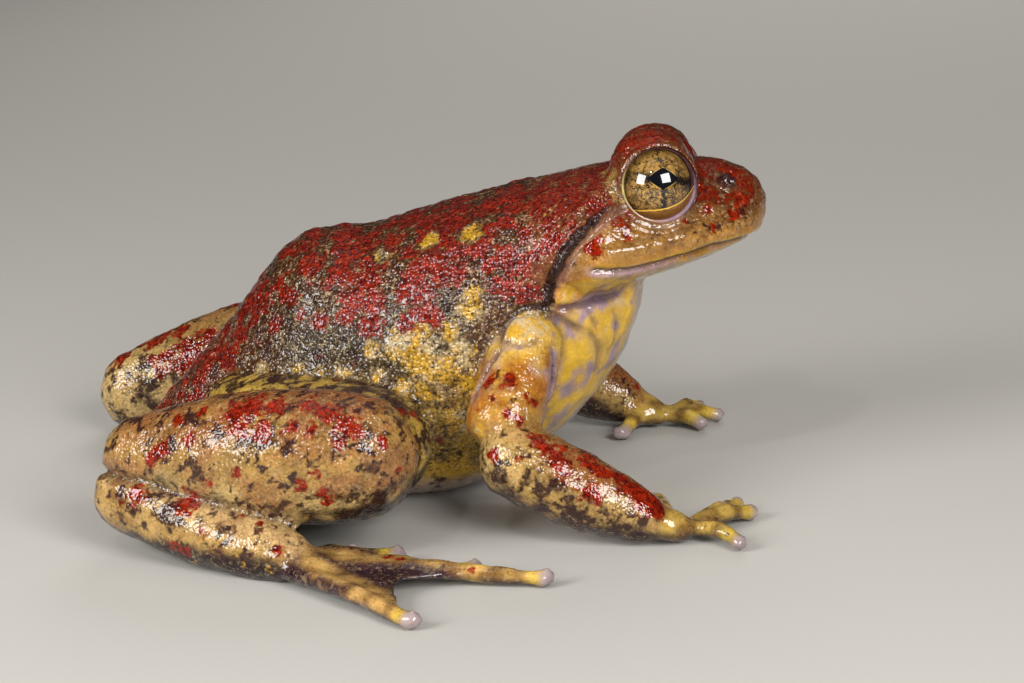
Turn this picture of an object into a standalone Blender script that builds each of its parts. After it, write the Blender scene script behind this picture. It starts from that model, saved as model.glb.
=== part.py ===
# A sitting spiny frog at life size, built as one closed solid for each part of its body.
# +X runs towards the snout, +Y to the frog's left and +Z up. The origin is the middle of the
# belly's resting flat, on the floor.

import math

import bmesh
import bpy
from mathutils import Matrix, Vector

# The one driving size is the length from snout to vent. Every other number is in parts of it:
# 95 parts make that length, so a part is a millimetre on this frog.
SNOUT_VENT = 0.095
PART = SNOUT_VENT / 95

# Touching solids keep this gap, and the floor is at height 0.
GAP = 0.0003
FLOOR_DEPTH = 20
FLOOR_REACH = 300

# Torso stations: x, lowest z, highest z, half width, height of the widest level as a share,
# and how square the back and the belly are (2 is an ellipse).
TORSO = [
    (-34.8, 8.8, 10.8, 1.0, 0.50, 2.0, 2.0),
    (-33.3, 7.0, 12.6, 3.2, 0.50, 2.0, 2.0),
    (-29.8, 4.8, 16.6, 5.8, 0.45, 1.8, 2.0),
    (-25.0, 3.2, 21.8, 8.2, 0.42, 1.7, 2.0),
    (-20.0, 1.8, 27.4, 10.6, 0.42, 1.7, 2.0),
    (-15.5, 0.8, 33.4, 13.0, 0.42, 1.8, 2.0),
    (-11.7, 0.0, 38.0, 14.6, 0.45, 1.8, 2.0),
    (-8.5, -0.5, 39.9, 15.8, 0.48, 1.9, 2.0),
    (-4.0, -1.0, 40.4, 17.4, 0.50, 2.0, 2.1),
    (1.5, -1.2, 40.3, 18.7, 0.51, 2.1, 2.1),
    (7.0, -1.0, 42.0, 19.8, 0.52, 2.2, 2.1),
    (13.0, -0.3, 43.4, 20.2, 0.52, 2.4, 2.1),
    (20.0, 2.4, 45.0, 19.4, 0.52, 2.6, 2.1),
    (27.0, 7.2, 46.8, 17.6, 0.52, 2.8, 2.0),
    (32.0, 11.5, 46.4, 15.4, 0.52, 2.4, 2.0),
    (36.0, 16.0, 42.0, 12.6, 0.52, 2.0, 2.0),
    (39.0, 20.8, 39.5, 9.6, 0.52, 2.0, 2.0),
    (41.2, 26.0, 36.5, 6.0, 0.52, 2.0, 2.0),
    (42.0, 29.5, 33.5, 2.0, 0.50, 2.0, 2.0),
]
TORSO_RINGS = 26
TORSO_SIDES = 28

# Head stations, in the same terms; the widest level is the line of the mouth.
HEAD = [
    (27.0, 29.2, 46.9, 16.8, 0.34, 2.3, 2.4),
    (32.0, 29.8, 48.1, 17.8, 0.30, 2.3, 2.6),
    (37.0, 30.8, 49.0, 17.2, 0.27, 2.1, 2.6),
    (42.0, 32.0, 49.6, 15.4, 0.24, 1.9, 2.6),
    (47.0, 33.4, 49.6, 13.2, 0.22, 1.8, 2.6),
    (51.5, 34.8, 49.2, 10.9, 0.20, 1.8, 2.5),
    (55.5, 36.2, 48.6, 8.2, 0.20, 1.9, 2.4),
    (58.4, 37.7, 47.2, 5.4, 0.21, 2.0, 2.2),
    (60.0, 39.4, 45.4, 3.0, 0.26, 2.0, 2.0),
    (60.6, 41.2, 43.4, 1.0, 0.40, 2.0, 2.0),
]
HEAD_RINGS = 22
HEAD_SIDES = 32

# The head leans this much, right side up, about a line through the neck.
HEAD_LEAN = math.radians(-8)
HEAD_PIVOT = (30, 0, 40)

# Eyes
EYE_CENTRE = (44.9, 8.9, 46.2)
EYE_RADIUS = 5.7
EYE_GAZE = (0.13, 0.98, 0.03)
EYE_RINGS = 12
EYE_SIDES = 20
EYE_OPENING = 5.1
EYE_OPENING_DEPTH = 2.2
LID_OFFSET = (-0.55, -0.5, 1.0)
LID_RADII = (6.55, 6.6, 7.05)
LID_RIM_RADIUS = 5.3
LID_RIM_THICK = 0.6
LID_RIM_DEPTH = 3.0
LID_OPENING_END = 12
LID_RINGS = 12
LID_SIDES = 24

# Nostrils: small pits on the sides of the snout, in a low ring.
NOSTRIL = (55.6, 3.9, 45.4)
NOSTRIL_RADIUS = 0.55
NOSTRIL_RIM = (1.4, 1.15, 1.15)
NOSTRIL_AXIS = (0.35, 0.8, 0.45)
NOSTRIL_DEPTH = 0.4
NOSTRIL_REACH = 3

# The line of the mouth runs from its corner to the snout, with a ridge of lip above it.
MOUTH_CORNER_X = 35.0
MOUTH_SLIT = 0.35
MOUTH_STEPS = 16
MOUTH_OVERRUN = 4
MOUTH_REACH = 30
JAW_CORNER = (32.8, -2.6)
JAW_ANGLE = (29.0, 28.5)
LIP_RADIUS = 0.75
LIP_RISE = 0.85
LIP_SINK = 0.25
LIP_STATIONS = (36.5, 40.5, 44.5, 48.5, 52.5, 56.0, 58.6)

# The fold over the eardrum: x and z of the points that it runs through, behind the eye.
EAR_FOLD = [(38.6, 46.6), (35.4, 44.6), (32.6, 41.4), (30.8, 37.4), (30.2, 33.6)]
EAR_FOLD_GIRTH = [(0, 0.7, 0.7), (0.5, 1.0, 1.0), (1, 0.8, 0.8)]
EAR_FOLD_SINK = 0.15

# Limb girths: share of the length, half width across, half height.
UPPER_ARM = [(0, 5.0, 5.0), (0.35, 5.2, 5.4), (0.8, 5.0, 5.5), (1, 4.8, 5.2)]
FOREARM = [(0, 5.0, 5.2), (0.3, 5.6, 5.7), (0.6, 5.1, 5.4), (0.85, 3.9, 4.1), (1, 3.1, 2.9)]
PALM = [(0, 3.0, 2.6), (0.5, 3.3, 2.3), (1, 2.9, 1.8)]
FINGER = [(0, 1.45, 1.4), (0.35, 1.2, 1.25), (0.5, 1.4, 1.35), (0.75, 1.05, 1.05), (0.84, 1.1, 1.05),
          (0.93, 1.65, 1.4), (1, 1.55, 1.3)]
THIGH = [(0, 7.0, 7.5), (0.3, 8.2, 8.8), (0.7, 7.6, 8.6), (1, 6.4, 7.4)]
SHANK = [(0, 6.6, 7.8), (0.25, 7.9, 9.6), (0.55, 7.6, 9.4), (0.85, 5.8, 7.2), (1, 5.2, 5.8)]
TARSUS = [(0, 5.4, 6.0), (0.4, 5.0, 5.5), (0.75, 4.5, 4.5), (1, 3.9, 3.0)]
TOE = [(0, 1.7, 1.6), (0.3, 1.4, 1.35), (0.5, 1.6, 1.5), (0.66, 1.2, 1.2), (0.8, 1.35, 1.3),
       (0.9, 1.1, 1.1), (0.955, 1.75, 1.5), (1, 1.7, 1.4)]
CAP_LEAST = 0.04
ARM_BOW = (0.6, 0, 0.4)
ELBOW_OVERRUN = 1.6
PALM_OVERLAP = 0.12
FINGER_ROOT_HEIGHT = 1.8
FINGER_ROOT_SHIFT = 1.0
FINGER_ARCH = 0.9
TOE_TIP_HEIGHT = 1.15
TOE_ROOT_HEIGHT = 2.0
TOE_ROOT_SHIFT = 1.5
TOE_SPREAD = (-2.4, -1.2, 0.0, 1.2, 2.4)
TOE_ARCH = 0.7
SOLE_BEHIND = 2.5
SOLE_AHEAD = 5
SOLE = [(0, 3.4, 2.3), (0.5, 3.8, 2.1), (1, 3.0, 1.6)]
# Webs: the two toes, how far out along each it reaches, and how hollow its free edge is.
WEBS = [
    (0, 1, 0.85, 0.60, 0.12),
    (1, 2, 0.85, 0.62, 0.14),
    (2, 3, 0.85, 0.66, 0.16),
    (4, 3, 0.90, 0.80, 0.30),
]
WEB_THICK = 0.8
WEB_ROWS = 4
WEB_START = 0.04
WEB_DROP = 0.3
WEB_LOWEST = 0.75

# The pose: the joints of each limb. The right side faces the viewer.
ARMS = {
    "right": {
        "shoulder": (26.5, -12.5, 29.5),
        "elbow": (21.0, -27.6, 13.6),
        "forearm_mid": (34.6, -30.0, 7.2),
        "wrist": (45.0, -31.0, 3.0),
        "knuckles": (49.2, -28.6, 1.5),
        "finger_tips": [(43.9, -14.2, 1.1), (56.2, -16.4, 0.9), (58.2, -20.2, 0.9), (56.6, -34.6, 0.9)],
        "finger_roots": [0.3, 0.9, 1.0, 1.0],
    },
    "left": {
        "shoulder": (26.5, 12.5, 29.5),
        "elbow": (22.0, 29.0, 12.6),
        "forearm_mid": (31.6, 28.8, 7.0),
        "wrist": (40.2, 27.8, 3.0),
        "knuckles": (44.4, 27.2, 1.5),
        "finger_tips": [(37.2, 18.8, 0.85), (50.5, 23.4, 0.85), (53.2, 29.0, 0.85), (50.0, 34.0, 0.85)],
        "finger_roots": [0.1, 0.9, 1.0, 0.9],
    },
}
LEGS = {
    "right": {
        "hip": (-23.0, -6.5, 12.5),
        "thigh_mid": (-6.0, -18.5, 13.0),
        "knee": (11.0, -28.0, 14.0),
        "shank_start": (11.0, -34.0, 14.6),
        "shank_mid": (-9.0, -34.5, 15.1),
        "heel": (-35.0, -26.8, 12.2),
        "tarsus_start": (-35.7, -27.2, 9.8),
        "tarsus_mid": (-19.0, -37.5, 5.3),
        "foot_root": (-4.0, -44.0, 2.6),
        "toe_tips": [(1.5, -37.0), (8.5, -38.2), (20.0, -44.4), (30.4, -48.2), (13.2, -64.4)],
    },
    "left": {
        "hip": (-23.0, 6.5, 12.5),
        "thigh_mid": (-11.0, 18.5, 12.5),
        "knee": (1.0, 31.0, 14.5),
        "shank_start": (0.0, 35.0, 15.2),
        "shank_mid": (-22.0, 33.0, 11.6),
        "heel": (-48.4, 28.6, 5.5),
        "tarsus_start": (-46.0, 30.5, 5.4),
        "tarsus_mid": (-31.0, 38.0, 4.6),
        "foot_root": (-17.5, 44.0, 2.6),
        "toe_tips": [(-9.0, 38.5), (-1.0, 41.0), (9.0, 45.5), (17.5, 53.5), (-1.0, 64.0)],
    },
}

# Finishes: colour, roughness and metallic value from the photograph.
FINISHES = {
    "back_skin": ((0.30, 0.07, 0.03), 0.35, 0.0),
    "limb_skin": ((0.48, 0.30, 0.10), 0.35, 0.0),
    "digit_skin": ((0.50, 0.40, 0.18), 0.35, 0.0),
    "jaw_skin": ((0.55, 0.36, 0.14), 0.35, 0.0),
    "iris": ((0.34, 0.22, 0.06), 0.08, 0.0),
}


def clear_scene():
    for old in list(bpy.data.objects):
        bpy.data.objects.remove(old, do_unlink=True)


def finish(name):
    found = bpy.data.materials.get(name)
    if found:
        return found
    colour, roughness, metallic = FINISHES[name]
    made = bpy.data.materials.new(name)
    made.use_nodes = True
    shader = made.node_tree.nodes["Principled BSDF"]
    shader.inputs["Base Color"].default_value = (*colour, 1)
    shader.inputs["Roughness"].default_value = roughness
    shader.inputs["Metallic"].default_value = metallic
    return made


# Curves through a few stations

def blend_rows(rows, keys, key):
    """A smooth value between the rows at this key, on a Catmull-Rom curve."""
    last = len(rows) - 1
    i = max(0, min(last - 1, sum(1 for k in keys[1:-1] if k <= key)))
    t = (key - keys[i]) / (keys[i + 1] - keys[i])
    before, after = rows[max(i - 1, 0)], rows[min(i + 2, last)]
    span = keys[i + 1] - keys[i]
    wide_before = keys[i + 1] - keys[max(i - 1, 0)]
    wide_after = keys[min(i + 2, last)] - keys[i]
    mixed = []
    for a, b, c, d in zip(before, rows[i], rows[i + 1], after):
        start_slope = (c - a) / wide_before * span
        end_slope = (d - b) / wide_after * span
        mixed.append(
            b * (2 * t**3 - 3 * t**2 + 1)
            + start_slope * (t**3 - 2 * t**2 + t)
            + c * (3 * t**2 - 2 * t**3)
            + end_slope * (t**3 - t**2)
        )
    return mixed


def spread_ends(count):
    """Shares from 0 to 1 that lie closer together at both ends."""
    return [0.5 - 0.5 * math.cos(math.pi * i / (count - 1)) for i in range(count)]


def signed_power(value, power):
    return math.copysign(abs(value) ** power, value)


# Meshes

def new_object(name, mesh, material):
    made = bpy.data.objects.new(name, mesh)
    bpy.context.scene.collection.objects.link(made)
    made.data.materials.clear()
    made.data.materials.append(finish(material))
    return made


def skin_rings(name, rings, material):
    """A closed surface through rings of points, by extruding one circle from ring to ring."""
    mesh = bpy.data.meshes.new(name)
    work = bmesh.new()
    sides = len(rings[0])
    first = bmesh.ops.create_circle(work, segments=sides, radius=1, cap_ends=False)["verts"]
    for vert, place in zip(first, rings[0]):
        vert.co = place
    current = first
    edges = list(work.edges)
    start_edges = edges
    for ring in rings[1:]:
        order = {vert: i for i, vert in enumerate(current)}
        grown = bmesh.ops.extrude_edge_only(work, edges=edges)["geom"]
        new_verts = [item for item in grown if isinstance(item, bmesh.types.BMVert)]
        edges = [item for item in grown if isinstance(item, bmesh.types.BMEdge)]
        placed = [None] * sides
        for vert in new_verts:
            old = next(e.other_vert(vert) for e in vert.link_edges if e.other_vert(vert) in order)
            placed[order[old]] = vert
        for vert, place in zip(placed, ring):
            vert.co = place
        current = placed
    for loop in (start_edges, edges):
        bmesh.ops.contextual_create(work, geom=loop)
    bmesh.ops.recalc_face_normals(work, faces=work.faces)
    bmesh.ops.scale(work, vec=(PART, PART, PART), verts=work.verts)
    work.to_mesh(mesh)
    work.free()
    mesh.shade_smooth()
    return new_object(name, mesh, material)


def section(station, angle):
    """A point of the outline of a torso or head section."""
    x, low, high, half_width, level, back_power, belly_power = station
    widest = low + level * (high - low)
    upper = math.sin(angle) >= 0
    power = 2 / (back_power if upper else belly_power)
    reach = high - widest if upper else widest - low
    return (
        x,
        half_width * signed_power(math.cos(angle), power),
        widest + reach * signed_power(math.sin(angle), power),
    )


def station_at(stations, x):
    return blend_rows(stations, [s[0] for s in stations], x)


def trunk(name, stations, ring_count, sides, material):
    """A surface through upright sections along X."""
    start, end = stations[0][0], stations[-1][0]
    rings = []
    for share in spread_ends(ring_count):
        station = station_at(stations, start + (end - start) * share)
        rings.append([section(station, 2 * math.pi * i / sides) for i in range(sides)])
    return skin_rings(name, rings, material)


def side_at(stations, x, z):
    """How far out the side of the head or torso is at this x and z."""
    _, low, high, half_width, level, back_power, belly_power = station_at(stations, x)
    widest = low + level * (high - low)
    upper = z >= widest
    power = back_power if upper else belly_power
    reach = high - widest if upper else widest - low
    share = min(1, abs(z - widest) / reach)
    return half_width * (1 - share**power) ** (1 / power)


def limb(name, path, girths, ring_count, sides, material, roundness=(0.8, 0.8), up=(0, 0, 1)):
    """A bent tube with rounded ends. The girths give its half width and half height along it."""
    points = [Vector(p) for p in path]
    keys = [0.0]
    for a, b in zip(points, points[1:]):
        keys.append(keys[-1] + (b - a).length)
    length = keys[-1]
    shares = [g[0] for g in girths]
    start_round = roundness[0] * girths[0][1]
    end_round = roundness[1] * girths[-1][1]
    rings = []
    for share in spread_ends(ring_count):
        at = share * length
        step = 0.02 * length
        centre = Vector(blend_rows(points, keys, at))
        ahead = Vector(blend_rows(points, keys, min(at + step, length)))
        behind = Vector(blend_rows(points, keys, max(at - step, 0)))
        along = (ahead - behind).normalized()
        across = along.cross(Vector(up)).normalized()
        rise = across.cross(along)
        _, wide, high = blend_rows(girths, shares, share)
        cap = 1.0
        if at < start_round:
            cap = math.sqrt(max(CAP_LEAST, 1 - (1 - at / start_round) ** 2))
        if length - at < end_round:
            cap = math.sqrt(max(CAP_LEAST, 1 - (1 - (length - at) / end_round) ** 2))
        ring = []
        for i in range(sides):
            angle = 2 * math.pi * i / sides
            ring.append(
                centre + across * (wide * cap * math.cos(angle)) + rise * (high * cap * math.sin(angle))
            )
        rings.append(ring)
    return skin_rings(name, rings, material)


def ball(name, centre, radii, material, rings=10, sides=16):
    mesh = bpy.data.meshes.new(name)
    work = bmesh.new()
    bmesh.ops.create_uvsphere(work, u_segments=sides, v_segments=rings, radius=1)
    bmesh.ops.transform(
        work,
        matrix=Matrix.Translation(Vector(centre) * PART) @ Matrix.Diagonal(Vector(radii) * PART).to_4x4(),
        verts=work.verts,
    )
    work.to_mesh(mesh)
    work.free()
    mesh.shade_smooth()
    return new_object(name, mesh, material)


def ring(name, centre, axis, radius, thickness, segments=26, sides=6):
    """A round ring about an axis."""
    mesh = bpy.data.meshes.new(name)
    work = bmesh.new()
    made = bmesh.ops.create_circle(work, segments=sides, radius=thickness, cap_ends=False)["verts"]
    bmesh.ops.rotate(work, matrix=Matrix.Rotation(math.pi / 2, 3, "X"), verts=made)
    bmesh.ops.translate(work, vec=(radius, 0, 0), verts=made)
    bmesh.ops.spin(
        work, geom=list(work.verts) + list(work.edges), cent=(0, 0, 0), axis=(0, 0, 1), angle=2 * math.pi,
        steps=segments, use_merge=True, use_duplicate=False,
    )
    bmesh.ops.recalc_face_normals(work, faces=work.faces)
    turn = Vector(axis).to_track_quat("Z", "Y").to_matrix().to_4x4()
    place = Matrix.Translation(Vector(centre) * PART) @ turn @ Matrix.Scale(PART, 4)
    bmesh.ops.transform(work, matrix=place, verts=work.verts)
    work.to_mesh(mesh)
    work.free()
    mesh.shade_smooth()
    return new_object(name, mesh, "back_skin")


def rod(name, start, end, radius, sides=24):
    """A plain cylinder between two points, used as a cutter."""
    a, b = Vector(start) * PART, Vector(end) * PART
    mesh = bpy.data.meshes.new(name)
    work = bmesh.new()
    bmesh.ops.create_cone(
        work, cap_ends=True, segments=sides, radius1=radius * PART, radius2=radius * PART,
        depth=(b - a).length,
    )
    turn = (b - a).to_track_quat("Z", "Y").to_matrix().to_4x4()
    bmesh.ops.transform(work, matrix=Matrix.Translation((a + b) / 2) @ turn, verts=work.verts)
    work.to_mesh(mesh)
    work.free()
    return new_object(name, mesh, "limb_skin")


# Joining and cutting

def shells_of(work):
    """The separate closed surfaces of a mesh, each as a set of its points."""
    left = set(work.verts)
    shells = []
    while left:
        shell, edge = set(), [left.pop()]
        while edge:
            vert = edge.pop()
            shell.add(vert)
            for link in vert.link_edges:
                other = link.other_vert(vert)
                if other in left:
                    left.discard(other)
                    edge.append(other)
        shells.append(shell)
    return shells


def keep_shell(mesh, choose):
    """Leaves only the closed surface that choose picks from the list of them."""
    work = bmesh.new()
    work.from_mesh(mesh)
    shells = shells_of(work)
    kept = choose(shells)
    scraps = [vert for shell in shells if shell is not kept for vert in shell]
    bmesh.ops.delete(work, geom=scraps, context="VERTS")
    work.to_mesh(mesh)
    work.free()


def box_size(shell):
    spans = [max(v.co[k] for v in shell) - min(v.co[k] for v in shell) for k in range(3)]
    return spans[0] * spans[1] * spans[2]


def largest(shells):
    return max(shells, key=box_size)


def middle_height(shell):
    return sum(v.co.z for v in shell) / len(shell)


def upper_of_two(shells):
    return max(sorted(shells, key=len)[-2:], key=middle_height)


def lower_of_two(shells):
    return min(sorted(shells, key=len)[-2:], key=middle_height)


def boolean(target, others, operation):
    """Joins the others to the target, or cuts them from it, and removes them."""
    helpers = bpy.data.collections.new("helpers")
    bpy.context.scene.collection.children.link(helpers)
    for other in others:
        helpers.objects.link(other)
    change = target.modifiers.new("change", "BOOLEAN")
    change.operation = operation
    change.operand_type = "COLLECTION"
    change.collection = helpers
    change.solver = "EXACT"
    bpy.context.view_layer.update()
    seen = target.evaluated_get(bpy.context.evaluated_depsgraph_get())
    changed = bpy.data.meshes.new_from_object(seen)
    target.modifiers.clear()
    target.data = changed
    for other in others:
        bpy.data.objects.remove(other, do_unlink=True)
    bpy.data.collections.remove(helpers)
    keep_shell(target.data, largest)
    return target


def inflated(source, by=GAP):
    """A copy of a solid whose surface is moved out by a little."""
    mesh = source.data.copy()
    work = bmesh.new()
    work.from_mesh(mesh)
    work.normal_update()
    moves = [vert.normal * by for vert in work.verts]
    for vert, move in zip(work.verts, moves):
        vert.co += move
    work.to_mesh(mesh)
    work.free()
    return new_object(source.name + "_grown", mesh, "limb_skin")


def cut_back(target, *neighbours):
    for neighbour in neighbours:
        boolean(target, [inflated(neighbour)], "DIFFERENCE")
    return target


def floor_cut(target):
    """Gives what reaches the floor a flat foot at height 0."""
    lowest = min(v.co.z for v in target.data.vertices)
    if lowest >= 0:
        return
    mesh = bpy.data.meshes.new("floor_cutter")
    work = bmesh.new()
    bmesh.ops.create_cube(work, size=1)
    size = FLOOR_REACH * PART
    depth = FLOOR_DEPTH * PART
    bmesh.ops.scale(work, vec=(size, size, depth), verts=work.verts)
    bmesh.ops.translate(work, vec=(0, 0, -depth / 2), verts=work.verts)
    work.to_mesh(mesh)
    work.free()
    boolean(target, [new_object("floor_cutter", mesh, "limb_skin")], "DIFFERENCE")


# Head

def mouth_height(x):
    station = station_at(HEAD, min(x, HEAD[-1][0]))
    return station[1] + station[4] * (station[2] - station[1])


def mouth_cutter():
    """A thin sheet along the line of the mouth, which then drops behind the corner to the jaw's angle."""
    length = HEAD[-1][0] + MOUTH_OVERRUN - MOUTH_CORNER_X
    corner_x, corner_drop = JAW_CORNER
    line = [JAW_ANGLE, (corner_x, mouth_height(MOUTH_CORNER_X) + corner_drop)]
    for i in range(MOUTH_STEPS + 1):
        x = MOUTH_CORNER_X + length * i / MOUTH_STEPS
        line.append((x, mouth_height(x)))
    mesh = bpy.data.meshes.new("mouth_cutter")
    work = bmesh.new()
    verts = [work.verts.new((x, -MOUTH_REACH, z)) for x, z in line]
    edges = [work.edges.new(pair) for pair in zip(verts, verts[1:])]
    grown = bmesh.ops.extrude_edge_only(work, edges=edges)["geom"]
    moved = [item for item in grown if isinstance(item, bmesh.types.BMVert)]
    bmesh.ops.translate(work, vec=(0, 2 * MOUTH_REACH, 0), verts=moved)
    bmesh.ops.triangulate(work, faces=work.faces)
    bmesh.ops.scale(work, vec=(PART, PART, PART), verts=work.verts)
    bmesh.ops.solidify(work, geom=list(work.faces), thickness=MOUTH_SLIT * PART)
    bmesh.ops.recalc_face_normals(work, faces=work.faces)
    work.to_mesh(mesh)
    work.free()
    return new_object("mouth_cutter", mesh, "limb_skin")


def mirrored(point, side):
    return (point[0], point[1] * side, point[2])


def lip(side):
    path = [
        (x, side * (side_at(HEAD, x, mouth_height(x) + LIP_RISE) - LIP_SINK), mouth_height(x) + LIP_RISE)
        for x in LIP_STATIONS
    ]
    girth = [(0, LIP_RADIUS, LIP_RADIUS), (1, LIP_RADIUS, LIP_RADIUS)]
    return limb("lip", path, girth, 16, 6, "jaw_skin")


def ear_fold(side):
    path = [(x, side * (side_at(HEAD, x, z) - EAR_FOLD_SINK), z) for x, z in EAR_FOLD]
    return limb("ear_fold", path, EAR_FOLD_GIRTH, 14, 8, "back_skin")


def make_head():
    head = trunk("head", HEAD, HEAD_RINGS, HEAD_SIDES, "back_skin")
    eyes, added, cutters = [], [], []
    for side, word in ((-1, "right"), (1, "left")):
        centre = Vector(mirrored(EYE_CENTRE, side))
        gaze = Vector(mirrored(EYE_GAZE, side)).normalized()
        eye = ball("eye_" + word, centre, [EYE_RADIUS] * 3, "iris", EYE_RINGS, EYE_SIDES)
        eyes.append(eye)
        lid_centre = centre + Vector(mirrored(LID_OFFSET, side))
        added.append(ball("lid", lid_centre, LID_RADII, "back_skin", LID_RINGS, LID_SIDES))
        rim_place = centre + gaze * LID_RIM_DEPTH
        added.append(ring("lid_rim", rim_place, gaze, LID_RIM_RADIUS, LID_RIM_THICK))
        opening_start = centre + gaze * EYE_OPENING_DEPTH
        cutters.append(rod("lid_opening", opening_start, centre + gaze * LID_OPENING_END, EYE_OPENING))
        cutters.append(inflated(eye))
        place = Vector(mirrored(NOSTRIL, side))
        added.append(ball("nostril_rim", place, NOSTRIL_RIM, "back_skin", 6, 10))
        outward = Vector(mirrored(NOSTRIL_AXIS, side)).normalized()
        pit_start, pit_end = place - outward * NOSTRIL_DEPTH, place + outward * NOSTRIL_REACH
        cutters.append(rod("nostril", pit_start, pit_end, NOSTRIL_RADIUS, 8))
        added.append(lip(side))
        added.append(ear_fold(side))
    boolean(head, added, "UNION")
    boolean(head, cutters, "DIFFERENCE")
    jaw = new_object("lower_jaw", head.data.copy(), "jaw_skin")
    split_jaw(head, jaw)
    return head, jaw, eyes


def split_jaw(head, jaw):
    """Cuts the head along the mouth, and keeps the upper body in head and the lower one in jaw."""
    slit = mouth_cutter()
    change = head.modifiers.new("slit", "BOOLEAN")
    change.operation = "DIFFERENCE"
    change.object = slit
    change.solver = "EXACT"
    bpy.context.view_layer.update()
    seen = head.evaluated_get(bpy.context.evaluated_depsgraph_get())
    both = bpy.data.meshes.new_from_object(seen)
    head.modifiers.clear()
    bpy.data.objects.remove(slit, do_unlink=True)
    head.data = both
    jaw.data = both.copy()
    keep_shell(head.data, upper_of_two)
    keep_shell(jaw.data, lower_of_two)
    jaw.data.materials.clear()
    jaw.data.materials.append(finish("jaw_skin"))


def lean_head(objects):
    pivot = Vector(HEAD_PIVOT) * PART
    turn = Matrix.Translation(pivot) @ Matrix.Rotation(HEAD_LEAN, 4, "X") @ Matrix.Translation(-pivot)
    for item in objects:
        item.data.transform(turn)


# Limbs

def mix(a, b, share):
    return Vector(a).lerp(Vector(b), share)


def make_arm(word, torso, bare_head):
    pose = ARMS[word]
    shoulder, elbow = Vector(pose["shoulder"]), Vector(pose["elbow"])
    wrist, knuckles = Vector(pose["wrist"]), Vector(pose["knuckles"])
    bow = mix(shoulder, elbow, 0.5) + Vector(ARM_BOW)
    upper = limb("upper_arm_" + word, [shoulder, bow, elbow], UPPER_ARM, 11, 16, "limb_skin", up=(1, 0, 0))
    fore_mid = Vector(pose["forearm_mid"])
    fore_start = elbow + (elbow - fore_mid).normalized() * ELBOW_OVERRUN
    fore = limb("forearm_" + word, [fore_start, fore_mid, wrist], FOREARM, 13, 16, "limb_skin", (0.9, 0.5))
    palm_path = [mix(wrist, fore_mid, PALM_OVERLAP), mix(wrist, knuckles, 0.5), knuckles]
    palm = limb("hand_" + word, palm_path, PALM, 9, 14, "digit_skin", (0.4, 0.9))
    fingers = []
    for number, (tip, root_share) in enumerate(zip(pose["finger_tips"], pose["finger_roots"]), 1):
        tip_place = Vector(tip)
        root = mix(wrist, knuckles, root_share)
        root.z = FINGER_ROOT_HEIGHT
        root += (tip_place - root).normalized() * FINGER_ROOT_SHIFT
        bend = mix(root, tip_place, 0.5) + Vector((0, 0, FINGER_ARCH))
        name = f"finger_{number}_{word}"
        fingers.append(limb(name, [root, bend, tip_place], FINGER, 11, 8, "digit_skin", (0.3, 0.9)))
    cut_back(upper, torso, bare_head)
    cut_back(fore, upper, torso)
    cut_back(palm, fore)
    for i, item in enumerate(fingers):
        cut_back(item, palm, fore, *fingers[:i])
    return [upper, fore, palm, *fingers]


def web(toe_a, toe_b, reach_a, reach_b, dip):
    """A thin sheet between two toes, whose free edge is hollow. A toe is its root, bend and tip."""
    def along(toe, share):
        keys = [0.0, (toe[1] - toe[0]).length, (toe[1] - toe[0]).length + (toe[2] - toe[1]).length]
        return Vector(blend_rows(toe, keys, share * keys[-1]))

    mesh = bpy.data.meshes.new("web")
    work = bmesh.new()
    bmesh.ops.create_grid(work, x_segments=WEB_ROWS, y_segments=WEB_ROWS, size=1)
    for vert in work.verts:
        across = (vert.co.x + 1) / 2
        out = (vert.co.y + 1) / 2
        edge = reach_a + (reach_b - reach_a) * across - dip * math.sin(math.pi * across)
        share = WEB_START + out * (edge - WEB_START)
        a, b = along(toe_a, share), along(toe_b, share)
        place = a.lerp(b, across)
        vert.co = (place.x, place.y, max(place.z - WEB_DROP, WEB_LOWEST))
    bmesh.ops.triangulate(work, faces=work.faces)
    bmesh.ops.scale(work, vec=(PART, PART, PART), verts=work.verts)
    bmesh.ops.solidify(work, geom=list(work.faces), thickness=WEB_THICK * PART)
    bmesh.ops.recalc_face_normals(work, faces=work.faces)
    work.to_mesh(mesh)
    work.free()
    return new_object("web", mesh, "digit_skin")


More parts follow.
